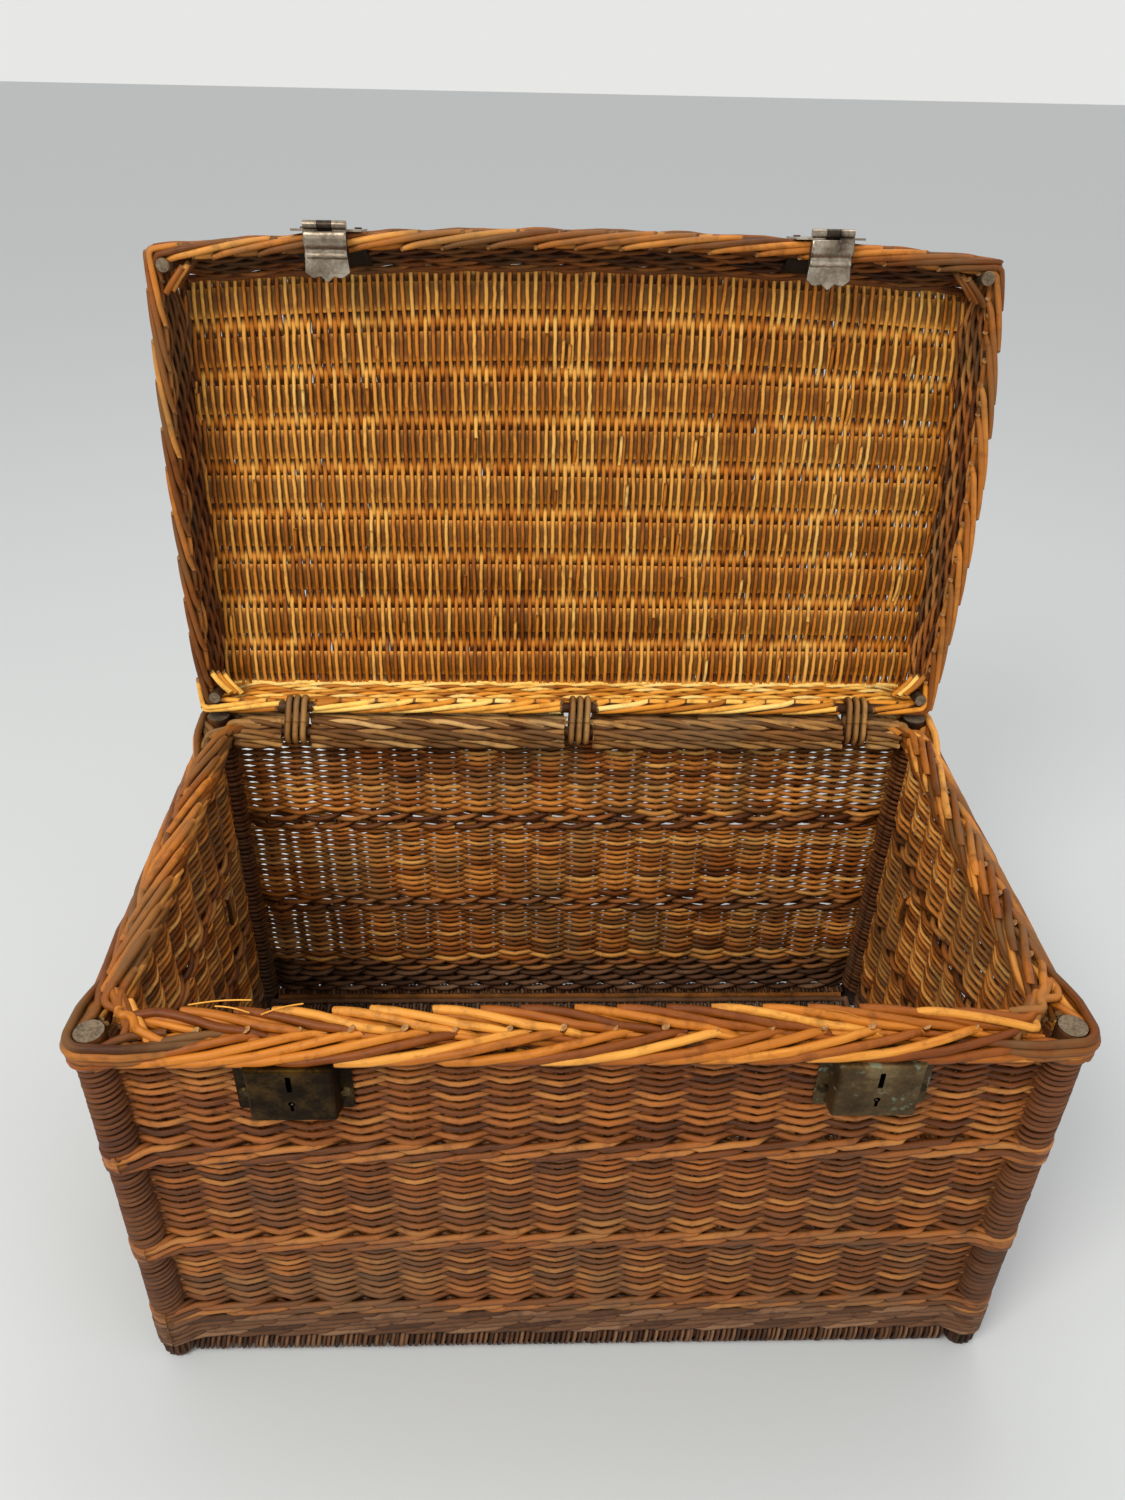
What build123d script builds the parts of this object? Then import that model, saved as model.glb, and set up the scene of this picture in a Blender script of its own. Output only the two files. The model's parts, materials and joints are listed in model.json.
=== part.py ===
from build123d import *
from math import atan, cos, degrees, radians, sin
import os

# Woven willow trunk with a hinged lid, two hasps and two box locks.
# Millimetres, +Z up, +Y towards the back, origin at the bottom centre of the trunk.

# ---------------------------------------------------------------- main sizes
post_spacing_x = 790.0
post_spacing_y = 466.0
rim_height = 460.0
lid_open_angle = 99.0

# Running and visual clearances.
snug = 0.05
air = 0.3

# Uprights of the trunk.
post_radius = 13.0
post_top = 459.5
wrap_radius = 17.0
stake_radius = 3.5
stake_pitch = 42.0
front_stake_count = 18
end_stake_count = 10

# Woven bands of the trunk's walls, from the floor up.
wall_thickness = 16.0
foot_height = 28.0
lower_wale_bottom = 64.0
lower_wale_top = 83.0
middle_wale_bottom = 168.0
middle_wale_top = 189.0
upper_wale_bottom = 297.0
upper_wale_top = 321.0
wale_thickness = 20.0
foot_wale_thickness = 22.0

# Border round the trunk's mouth.
border_height = 24.0
border_bottom = rim_height - border_height
border_inner_y = 206.0
border_outer_y = 251.0
border_inner_x = 368.0
border_outer_x = 413.0
border_round = 9.0

# Floor.
floor_thickness = 14.0
floor_half_x = 383.0
floor_half_y = 220.0
floor_stick_radius = 4.5
floor_stick_count = 7
floor_stick_pitch = 60.0
floor_edge_width = 24.0
floor_edge_stick_radius = 8.0
floor_end_bottom = 2.0

# Lid hinge: withy loops round the trunk's back rail and the lid's back rod.
hinge_y = 229.0
hinge_z = 470.0
rail_y = 214.0
rail_z = 446.0
hinge_rod_radius = 6.0
hinge_rod_half_length = 404.0
loop_bore = hinge_rod_radius + 0.4
loop_rod = 7.5
loop_pitch = 8.5
loop_count = 3
loop_window_width = 28.5
loop_window_radius = 14.4
hinge_positions = (-305.0, 10.0, 322.0)

# Lid, measured in its own frame: "reach" runs from the hinge axis to the front.
lid_half_x = 413.0
lid_reach = 485.0
lid_roll_width = 22.0
lid_roll_height = 19.0
lid_roll_round = 9.4
lid_roll_bottom = -9.5
lid_wall_thickness = 13.0
lid_back_face = -7.0
lid_wall_top = 50.0
lid_crown = 18.0
lid_panel_thickness = 7.0
lath_width = 25.0
lath_thickness = 4.0
lath_count = 9
lath_first = 32.0
lath_pitch = 49.0
lath_half_length = 399.5
lid_post_radius = 7.0
lid_post_x = 392.5
lid_post_back = 13.5
lid_post_front = 464.5

# Hasps and locks.
lock_x = 238.0
hasp_axis_reach = 491.0
hasp_axis_drop = -15.0
barrel_radius = 4.0
hasp_pin_radius = 1.6
hasp_pin_half_length = 20.0
barrel_half_width = 7.0
barrel_gap = 0.3
strap_back = 2.0
strap_thickness = 2.0
strap_half_width = 20.0
strap_neck = 6.8
strap_side_bottom = 41.0
strap_lobe_x = 13.0
strap_lobe_bottom = 46.5
strap_notch_x = 6.0
strap_notch = 44.5
strap_length = 50.0
staple_drop = 36.0
staple_wire_radius = 1.1
staple_leg_offset = 3.5
staple_reach = 5.8
staple_head_radius = 2.0
staple_head_height = 0.8
leaf_half_width = 33.0
leaf_face = lid_reach + air
leaf_thickness = 2.0
leaf_bottom = -9.0
leaf_top = 38.0
backing_thickness = 1.2
backing_bottom = 12.0
backing_top = 34.0
hasp_rivet_x = 26.0
hasp_rivet_height = 24.0
rivet_radius = 1.5
rivet_head_radius = 3.5
rivet_head_height = 1.4
flange_half_width = 47.0
flange_bottom = 380.0
flange_top = 432.0
flange_thickness = 1.2
case_half_width = 33.5
case_bottom = 375.0
case_top = 435.5
case_face_y = -259.0
case_wall = 1.2
slot_half_width = 2.2
slot_bottom = 411.0
slot_depth = 8.5
keyhole_z = 395.0
keyhole_radius = 2.2
keyhole_drop = 6.5
keyhole_slit = 2.2
key_pin_radius = 1.0
key_pin_end_y = -257.0
lock_rivet_x = 41.0
lock_rivet_z = 393.0
lock_rivet_head_radius = 5.5
lock_rivet_head_height = 2.2
bolt_z = hinge_z + hasp_axis_drop - staple_drop
bolt_front_y = -257.3
bolt_thickness = 2.3
bolt_height = 3.6
bolt_start = 4.0
bolt_length = 26.0
guide_starts = (8.0, 17.0)
guide_length = 4.0
guide_height = 10.0
guide_front_y = -257.6
guide_gap = 0.15

# Side handles of twisted willow, and their tucked ends inside.
handle_foot_y = 115.0
handle_foot_z = 282.0
handle_crown_z = 318.0
handle_stand_off = 46.0
handle_rod_radius = 9.0
tuck_bottom = 249.0
tuck_top = 292.0
tuck_radius = 4.0

# ------------------------------------------------------------ derived frames
half_x = post_spacing_x / 2
half_y = post_spacing_y / 2
wall_half = wall_thickness / 2
open_cos = cos(radians(lid_open_angle))
open_sin = sin(radians(lid_open_angle))

# The lid's own plane: local x is the trunk's X, local y runs back towards
# the hinge, local z runs from the lid's mouth to its woven top.
lid_up = (0.0, open_sin, open_cos)
lid_back = (0.0, open_cos, -open_sin)
lid_plane = Plane(origin=(0, hinge_y, hinge_z), x_dir=(1, 0, 0), z_dir=lid_up)
# Cross-section plane of the lid: local x runs back, local y runs up.
lid_section = Plane(origin=(0, hinge_y, hinge_z), x_dir=lid_back, z_dir=(1, 0, 0))
# Looking at the lid's front wall from inside: local x is X, local y runs up.
lid_face = Plane(origin=(0, hinge_y, hinge_z), x_dir=(-1, 0, 0), z_dir=lid_back)

# Hanging hasp axis in the trunk's frame while the lid stands open.
hasp_y = hinge_y - hasp_axis_reach * open_cos + hasp_axis_drop * open_sin
hasp_z = hinge_z + hasp_axis_reach * open_sin + hasp_axis_drop * open_cos

base_post_spots = [(x, y) for x in (-half_x, half_x) for y in (-half_y, half_y)]
lid_post_spots = [
    (x, y) for x in (-lid_post_x, lid_post_x) for y in (-lid_post_back, -lid_post_front)
]
front_stake_spots = [
    ((i - (front_stake_count - 1) / 2) * stake_pitch, side * half_y)
    for i in range(front_stake_count)
    for side in (-1, 1)
]
end_stake_spots = [
    (side * half_x, (i - (end_stake_count - 1) / 2) * stake_pitch)
    for i in range(end_stake_count)
    for side in (-1, 1)
]
lock_spots = {"left": -lock_x, "right": lock_x}
lock_rivet_spots = [
    (x + side * lock_rivet_x, lock_rivet_z) for x in lock_spots.values() for side in (-1, 1)
]
hasp_rivet_spots = [
    (x + side * hasp_rivet_x, hasp_rivet_height)
    for x in lock_spots.values()
    for side in (-1, 1)
]


def keep(piece, name):
    """Label one finished piece and write it as its own file."""
    piece.part.label = name
    export_step(piece.part, f"parts/{name}.step")


def arch(distance):
    """Rise of the lid's top above its walls at a distance from the hinge."""
    centre = (lid_reach + lid_back_face) / 2
    span = (lid_reach - lid_back_face) / 2
    return lid_crown * (1 - ((distance - centre) / span) ** 2)


os.makedirs("parts", exist_ok=True)

# ------------------------------------------------------------------ uprights
with BuildPart() as corner_posts:
    with BuildSketch():
        with Locations(*base_post_spots):
            Circle(post_radius)
    extrude(amount=post_top)
keep(corner_posts, "corner_posts")

# Willow lashed round each corner post from the foot to the border.
with BuildPart() as corner_wraps:
    with BuildSketch(Plane.XY.offset(floor_end_bottom)):
        with Locations(*base_post_spots):
            Circle(wrap_radius)
            Circle(post_radius + snug, mode=Mode.SUBTRACT)
    extrude(amount=border_bottom - floor_end_bottom)
keep(corner_wraps, "corner_wraps")

with BuildPart() as stakes:
    with BuildSketch(Plane.XY.offset(foot_height)):
        with Locations(*front_stake_spots, *end_stake_spots):
            Circle(stake_radius)
    extrude(amount=border_bottom - foot_height)
keep(stakes, "stakes")

# --------------------------------------------------------------------- walls
# Channels that the wrapped corner posts and the stakes stand in.
with BuildPart() as upright_channels:
    with BuildSketch():
        with Locations(*base_post_spots):
            Circle(wrap_radius + snug)
        with Locations(*front_stake_spots, *end_stake_spots):
            Circle(stake_radius + snug)
    extrude(amount=border_bottom)

with BuildPart() as post_channels:
    with BuildSketch():
        with Locations(*base_post_spots):
            Circle(post_radius + snug)
    extrude(amount=rim_height)

bands = (
    (lower_wale_top, middle_wale_bottom),
    (middle_wale_top, upper_wale_bottom),
    (upper_wale_top, border_bottom),
)

for wall_name, wall_side in (("front_weave", -1), ("back_weave", 1)):
    with BuildPart() as long_wall:
        for band_bottom, band_top in bands:
            with BuildSketch(Plane.XY.offset(band_bottom)):
                with Locations((0, wall_side * half_y)):
                    Rectangle(post_spacing_x, wall_thickness)
            extrude(amount=band_top - band_bottom)
        add(upright_channels.part, mode=Mode.SUBTRACT)
        if wall_side < 0:
            with BuildSketch(Plane.XZ):
                with Locations(*lock_rivet_spots):
                    Circle(rivet_radius + snug)
            extrude(amount=2 * half_y, mode=Mode.SUBTRACT)
    keep(long_wall, wall_name)

for wall_name, wall_side in (("left_weave", -1), ("right_weave", 1)):
    with BuildPart() as end_wall:
        for band_bottom, band_top in bands:
            with BuildSketch(Plane.XY.offset(band_bottom)):
                with Locations((wall_side * half_x, 0)):
                    Rectangle(wall_thickness, post_spacing_y - wall_thickness)
            extrude(amount=band_top - band_bottom)
        add(upright_channels.part, mode=Mode.SUBTRACT)
    keep(end_wall, wall_name)

# Waling: thick multi-rod rows that run round all four sides.
wales = (
    ("upper_wale", upper_wale_bottom, upper_wale_top, wale_thickness),
    ("middle_wale", middle_wale_bottom, middle_wale_top, wale_thickness),
    ("lower_wale", lower_wale_bottom, lower_wale_top, wale_thickness),
    ("foot_wale", foot_height, lower_wale_bottom, foot_wale_thickness),
)
for wale_name, wale_bottom, wale_top, thickness in wales:
    with BuildPart() as wale:
        with BuildSketch(Plane.XY.offset(wale_bottom)):
            with Locations((0, -half_y), (0, half_y)):
                Rectangle(post_spacing_x, thickness)
            with Locations((-half_x, 0), (half_x, 0)):
                Rectangle(thickness, post_spacing_y - thickness)
        extrude(amount=wale_top - wale_bottom)
        add(upright_channels.part, mode=Mode.SUBTRACT)
    keep(wale, wale_name)

# -------------------------------------------------------------------- border
border_width = border_outer_y - border_inner_y
border_mid_y = (border_outer_y + border_inner_y) / 2
border_mid_x = (border_outer_x + border_inner_x) / 2

with BuildPart() as border_front:
    with BuildSketch(Plane.XY.offset(border_bottom)):
        with Locations((0, -border_mid_y)):
            Rectangle(2 * border_outer_x, border_width)
    extrude(amount=border_height)
    fillet(border_front.edges(), border_round)
    add(post_channels.part, mode=Mode.SUBTRACT)
keep(border_front, "border_front")

# The back border carries the hinge rail and has a window at each hinge.
loop_angle = degrees(atan((hinge_z - rail_z) / (hinge_y - rail_y)))
loop_span = ((hinge_y - rail_y) ** 2 + (hinge_z - rail_z) ** 2) ** 0.5
loop_centre = ((hinge_y + rail_y) / 2, (hinge_z + rail_z) / 2)

with BuildPart() as border_back:
    with BuildSketch(Plane.XY.offset(border_bottom)):
        with Locations((0, border_mid_y)):
            Rectangle(2 * border_outer_x, border_width)
    extrude(amount=border_height)
    fillet(border_back.edges(), border_round)
    add(post_channels.part, mode=Mode.SUBTRACT)
    with BuildSketch(Plane.YZ):
        with Locations((rail_y, rail_z)):
            Circle(hinge_rod_radius + snug)
    extrude(amount=border_inner_x, both=True, mode=Mode.SUBTRACT)
    for hinge_x in hinge_positions:
        with BuildSketch(Plane.YZ.offset(hinge_x)):
            with Locations(loop_centre):
                SlotCenterToCenter(loop_span, 2 * loop_window_radius, rotation=loop_angle)
        extrude(amount=loop_window_width / 2, both=True, mode=Mode.SUBTRACT)
keep(border_back, "border_back")

for border_name, side in (("border_left", -1), ("border_right", 1)):
    with BuildPart() as border_end:
        with BuildSketch(Plane.XY.offset(border_bottom)):
            with Locations((side * border_mid_x, 0)):
                Rectangle(border_width, 2 * border_inner_y)
        extrude(amount=border_height)
        fillet(border_end.edges().filter_by(Axis.Y), border_round)
    keep(border_end, border_name)

with BuildPart() as hinge_rail:
    with BuildSketch(Plane.YZ):
        with Locations((rail_y, rail_z)):
            Circle(hinge_rod_radius)
    extrude(amount=border_inner_x, both=True)
keep(hinge_rail, "hinge_rail")

# --------------------------------------------------------------------- floor
floor_stick_spots = [
    ((i - (floor_stick_count - 1) / 2) * floor_stick_pitch, floor_thickness / 2)
    for i in range(floor_stick_count)
]
edge_stick_spots = [(side * half_y, foot_height / 2) for side in (-1, 1)]

with BuildPart() as floor_weave:
    with BuildSketch():
        Rectangle(2 * floor_half_x, 2 * floor_half_y)
        with Locations(*base_post_spots):
            Circle(wrap_radius + snug, mode=Mode.SUBTRACT)
    extrude(amount=floor_thickness)
    with BuildSketch(Plane.YZ):
        with Locations(*floor_stick_spots):
            Circle(floor_stick_radius + snug)
    extrude(amount=floor_half_x, both=True, mode=Mode.SUBTRACT)
keep(floor_weave, "floor_weave")

with BuildPart() as floor_sticks:
    with BuildSketch(Plane.YZ):
        with Locations(*floor_stick_spots):
            Circle(floor_stick_radius)
    extrude(amount=floor_half_x, both=True)
keep(floor_sticks, "floor_sticks")

# The floor's weavers turn round a thick stick along the front and back edges.
for edge_name, side in (("floor_edge_front", -1), ("floor_edge_back", 1)):
    with BuildPart() as floor_edge:
        with BuildSketch():
            with Locations((0, side * half_y)):
                Rectangle(post_spacing_x, floor_edge_width)
            with Locations(*base_post_spots):
                Circle(wrap_radius + snug, mode=Mode.SUBTRACT)
        extrude(amount=foot_height)
        with BuildSketch(Plane.YZ):
            with Locations((side * half_y, foot_height / 2)):
                Circle(floor_edge_stick_radius + snug)
        extrude(amount=half_x, both=True, mode=Mode.SUBTRACT)
    keep(floor_edge, edge_name)

with BuildPart() as floor_edge_sticks:
    with BuildSketch(Plane.YZ):
        with Locations(*edge_stick_spots):
            Circle(floor_edge_stick_radius)
    extrude(amount=half_x - wrap_radius - air, both=True)
keep(floor_edge_sticks, "floor_edge_sticks")

with BuildPart() as floor_ends:
    with BuildSketch(Plane.XY.offset(floor_end_bottom)):
        with Locations((-half_x, 0), (half_x, 0)):
            Rectangle(floor_edge_width, post_spacing_y - floor_edge_width)
        with Locations(*base_post_spots):
            Circle(wrap_radius + snug, mode=Mode.SUBTRACT)
    extrude(amount=foot_height - floor_end_bottom)
keep(floor_ends, "floor_ends")

# -------------------------------------------------------------- side handles
for handle_name, side in (("handle_left", -1), ("handle_right", 1)):
    face_x = side * (half_x + wall_half)
    with BuildPart() as handle:
        with BuildLine() as bow:
            ThreePointArc(
                (face_x, -handle_foot_y, handle_foot_z),
                (face_x + side * handle_stand_off, 0, handle_crown_z),
                (face_x, handle_foot_y, handle_foot_z),
            )
        with BuildSketch(Plane(origin=bow.line @ 0, z_dir=bow.line % 0)):
            Circle(handle_rod_radius)
        sweep(path=bow.line)
        with Locations((0, 0, handle_foot_z)):
            Box(2 * (half_x + wall_half), post_spacing_y, post_spacing_y, mode=Mode.SUBTRACT)
    keep(handle, handle_name)

# The handle's rods come through the wall and lie tucked against its inside.
tuck_spots = [
    (side * (half_x - wall_half - tuck_radius), y)
    for side in (-1, 1)
    for y in (-handle_foot_y, handle_foot_y)
]
with BuildPart() as handle_tucks:
    with BuildSketch(Plane.XY.offset(tuck_bottom)):
        with Locations(*tuck_spots):
            Circle(tuck_radius)
    extrude(amount=tuck_top - tuck_bottom)
    fillet(handle_tucks.edges().filter_by(GeomType.CIRCLE), tuck_radius / 2)
keep(handle_tucks, "handle_tucks")

# -------------------------------------------------------------- wicker hinges
loop_outer = loop_bore + loop_rod
for loop_name, hinge_x in zip(("left", "centre", "right"), hinge_positions):
    with BuildPart() as hinge_loops:
        for i in range(loop_count):
            loop_x = hinge_x + (i - (loop_count - 1) / 2) * loop_pitch
            with BuildSketch(Plane.YZ.offset(loop_x)):
                with Locations(loop_centre):
                    SlotCenterToCenter(loop_span, 2 * loop_outer, rotation=loop_angle)
                    SlotCenterToCenter(
                        loop_span, 2 * loop_bore, rotation=loop_angle, mode=Mode.SUBTRACT
                    )
            extrude(amount=loop_rod / 2, both=True)
        fillet(hinge_loops.edges(), loop_rod / 2 - snug)
    keep(hinge_loops, f"hinge_loops_{loop_name}")

# ------------------------------------------------------------------ box locks
for side_name, centre_x in lock_spots.items():
    wall_face_y = -half_y - wall_half
    plate_face_y = wall_face_y - flange_thickness
    flange_mid_z = (flange_bottom + flange_top) / 2

    with BuildPart() as lock_plate:
        with BuildSketch(Plane.XZ.offset(-wall_face_y)):
            with Locations((centre_x, flange_mid_z)):
                Rectangle(2 * flange_half_width, flange_top - flange_bottom)
            with Locations(*lock_rivet_spots):
                Circle(rivet_radius + snug, mode=Mode.SUBTRACT)
        extrude(amount=flange_thickness)
        # Two guide lugs carry the sliding bolt.
        with BuildSketch(Plane.XZ.offset(-plate_face_y)):
            for start in guide_starts:
                with Locations((centre_x + start + guide_length / 2, bolt_z)):
                    Rectangle(guide_length, guide_height)
        extrude(amount=plate_face_y - guide_front_y)
        with BuildSketch(Plane.YZ.offset(centre_x)):
            with Locations((bolt_front_y + bolt_thickness / 2, bolt_z)):
                Rectangle(bolt_thickness + 2 * guide_gap, bolt_height + 2 * guide_gap)
        extrude(amount=flange_half_width, mode=Mode.SUBTRACT)
    keep(lock_plate, f"lock_plate_{side_name}")

    with BuildPart() as lock_case:
        with BuildSketch(Plane.XZ.offset(-plate_face_y)):
            with Locations((centre_x, (case_bottom + case_top) / 2)):
                Rectangle(2 * case_half_width, case_top - case_bottom)
        extrude(amount=plate_face_y - case_face_y)
        fillet(lock_case.faces().sort_by(Axis.Y)[0].edges(), case_wall)
        with BuildSketch(Plane.XZ.offset(-plate_face_y)):
            with Locations((centre_x, (case_bottom + case_top) / 2)):
                Rectangle(
                    2 * (case_half_width - case_wall), case_top - case_bottom - 2 * case_wall
                )
        extrude(amount=plate_face_y - case_face_y - case_wall, mode=Mode.SUBTRACT)
        # Slot for the hasp's staple, open at the top.
        with BuildSketch(Plane.XZ.offset(-case_face_y - slot_depth)):
            with Locations((centre_x, (slot_bottom + case_top) / 2)):
                Rectangle(2 * slot_half_width, case_top - slot_bottom)
        extrude(amount=slot_depth, mode=Mode.SUBTRACT)
        # Keyhole: a round eye over a narrow slit.
        with BuildSketch(Plane.XZ.offset(-case_face_y - 2 * case_wall)):
            with Locations((centre_x, keyhole_z)):
                Circle(keyhole_radius)
            with Locations((centre_x, keyhole_z - keyhole_drop / 2)):
                Rectangle(keyhole_slit, keyhole_drop)
        extrude(amount=2 * case_wall, mode=Mode.SUBTRACT)
    keep(lock_case, f"lock_case_{side_name}")

    with BuildPart() as lock_key_pin:
        with BuildSketch(Plane.XZ.offset(-plate_face_y)):
            with Locations((centre_x, keyhole_z)):
                Circle(key_pin_radius)
        extrude(amount=plate_face_y - key_pin_end_y)
    keep(lock_key_pin, f"lock_key_pin_{side_name}")

    with BuildPart() as lock_bolt:
        with BuildSketch(Plane.YZ.offset(centre_x + bolt_start)):
            with Locations((bolt_front_y + bolt_thickness / 2, bolt_z)):
                Rectangle(bolt_thickness, bolt_height)
        extrude(amount=bolt_length)
    keep(lock_bolt, f"lock_bolt_{side_name}")

# Rivets through the wall, domed outside and clenched inside.
with BuildPart() as lock_rivets:
    with BuildSketch(Plane.XZ.offset(half_y - wall_half)):
        with Locations(*lock_rivet_spots):
            Circle(rivet_radius)
    extrude(amount=wall_thickness + flange_thickness)
    with BuildSketch(Plane.XZ.offset(half_y + wall_half + flange_thickness)):
        with Locations(*lock_rivet_spots):
            Circle(lock_rivet_head_radius)
    extrude(amount=lock_rivet_head_height, taper=40)
    with BuildSketch(Plane.XZ.offset(half_y - wall_half)):
        with Locations(*lock_rivet_spots):
            Circle(rivet_head_radius)
    extrude(amount=-rivet_head_height)
keep(lock_rivets, "lock_rivets")

# ----------------------------------------------------------------------- lid
roll_mid_back = lid_roll_bottom + lid_roll_width / 2
roll_mid_front = lid_reach - lid_roll_width / 2
roll_side_x = lid_half_x - lid_roll_width / 2
roll_side_front = lid_reach - lid_roll_width
roll_side_back = lid_roll_bottom + lid_roll_width

# Plaited roll round the lid's mouth.
with BuildPart() as lid_border:
    for reach in (roll_mid_back, roll_mid_front):
        with BuildSketch(lid_section):
            with Locations((-reach, lid_roll_bottom + lid_roll_height / 2)):
                RectangleRounded(lid_roll_width, lid_roll_height, lid_roll_round)
        extrude(amount=lid_half_x, both=True)
    with BuildSketch(lid_section):
        Circle(hinge_rod_radius + snug)
    extrude(amount=hinge_rod_half_length, both=True, mode=Mode.SUBTRACT)
    for hinge_x in hinge_positions:
        with BuildSketch(lid_section.offset(hinge_x)):
            Rectangle(4 * loop_window_radius, 2 * loop_window_radius)
        extrude(amount=loop_window_width / 2, both=True, mode=Mode.SUBTRACT)
    for side in (-1, 1):
        side_plane = Plane(
            origin=lid_plane.from_local_coords((0, -roll_side_back, 0)),
            x_dir=(1, 0, 0),
            z_dir=(0, -open_cos, open_sin),
        )
        with BuildSketch(side_plane):
            with Locations((side * roll_side_x, -(lid_roll_bottom + lid_roll_height / 2))):
                RectangleRounded(lid_roll_width, lid_roll_height, lid_roll_round)
        extrude(amount=roll_side_front - roll_side_back)
    with BuildSketch(lid_plane.offset(lid_roll_bottom)):
        with Locations(*lid_post_spots):
            Circle(lid_post_radius + snug)
    extrude(amount=lid_roll_height, mode=Mode.SUBTRACT)
keep(lid_border, "lid_border")

with BuildPart() as lid_hinge_rod:
    with BuildSketch(lid_section):
        Circle(hinge_rod_radius)
    extrude(amount=hinge_rod_half_length, both=True)
keep(lid_hinge_rod, "lid_hinge_rod")

wall_bottom = lid_roll_bottom + lid_roll_height
wall_rise = lid_wall_top - wall_bottom

with BuildPart() as lid_back_wall:
    with BuildSketch(lid_plane.offset(wall_bottom)):
        with Locations((0, -(lid_back_face + lid_wall_thickness / 2))):
            Rectangle(2 * lid_half_x, lid_wall_thickness)
    extrude(amount=wall_rise)
    for hinge_x in hinge_positions:
        with BuildSketch(lid_section.offset(hinge_x)):
            Rectangle(4 * loop_window_radius, 2 * loop_window_radius)
        extrude(amount=loop_window_width / 2, both=True, mode=Mode.SUBTRACT)
keep(lid_back_wall, "lid_back_wall")

with BuildPart() as lid_front_wall:
    with BuildSketch(lid_plane.offset(wall_bottom)):
        with Locations((0, -(lid_reach - lid_wall_thickness / 2))):
            Rectangle(2 * lid_half_x, lid_wall_thickness)
    extrude(amount=wall_rise)
    with BuildSketch(lid_face.offset(-lid_reach)):
        with Locations(*hasp_rivet_spots):
            Circle(rivet_radius + snug)
    extrude(amount=lid_wall_thickness, mode=Mode.SUBTRACT)
keep(lid_front_wall, "lid_front_wall")

# Underside of the arched top, as an arc over the lid's depth.
arch_back = (-lid_back_face, lid_wall_top)
arch_front = (-lid_reach, lid_wall_top)
arch_mid = (-(lid_reach + lid_back_face) / 2, lid_wall_top + lid_crown)
side_front = lid_reach - lid_wall_thickness
side_back = lid_back_face + lid_wall_thickness

for wall_name, side in (("lid_left_wall", -1), ("lid_right_wall", 1)):
    wall_x = side * (lid_half_x - lid_wall_thickness / 2)
    with BuildPart() as lid_side_wall:
        with BuildSketch(lid_section.offset(wall_x)):
            with BuildLine():
                ThreePointArc(arch_front, arch_mid, arch_back)
                Polyline(
                    arch_back,
                    (-lid_back_face, wall_bottom),
                    (-lid_reach, wall_bottom),
                    arch_front,
                )
            make_face()
            with Locations((-lid_reach, lid_wall_top), (-lid_back_face, lid_wall_top)):
                Rectangle(2 * lid_wall_thickness, 4 * lid_wall_top, mode=Mode.SUBTRACT)
        extrude(amount=lid_wall_thickness / 2, both=True)
    keep(lid_side_wall, wall_name)

with BuildPart() as lid_posts:
    with BuildSketch(lid_plane.offset(lid_roll_bottom)):
        with Locations(*lid_post_spots):
            Circle(lid_post_radius)
    extrude(amount=lid_wall_top - lid_roll_bottom)
keep(lid_posts, "lid_posts")

lath_places = [
    (lath_first + i * lath_pitch, arch(lath_first + i * lath_pitch) + lid_wall_top)
    for i in range(lath_count)
]
arch_span = (lid_reach - lid_back_face) / 2
with BuildPart() as lid_laths:
    with BuildSketch(lid_section):
        for distance, height in lath_places:
            slope = 2 * lid_crown * (distance - arch_span - lid_back_face) / arch_span**2
            with Locations((-distance, height)):
                Rectangle(lath_width, lath_thickness, rotation=degrees(atan(slope)))
    extrude(amount=lath_half_length, both=True)
keep(lid_laths, "lid_laths")

with BuildPart() as lid_panel:
    with BuildSketch(lid_section):
        with BuildLine():
            ThreePointArc(arch_front, arch_mid, arch_back)
            Line(arch_back, (arch_back[0], arch_back[1] + lid_panel_thickness))
            ThreePointArc(
                (arch_back[0], arch_back[1] + lid_panel_thickness),
                (arch_mid[0], arch_mid[1] + lid_panel_thickness),
                (arch_front[0], arch_front[1] + lid_panel_thickness),
            )
            Line((arch_front[0], arch_front[1] + lid_panel_thickness), arch_front)
        make_face()
    extrude(amount=lid_half_x, both=True)
    add(lid_laths.part, mode=Mode.SUBTRACT)
keep(lid_panel, "lid_panel")

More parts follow.
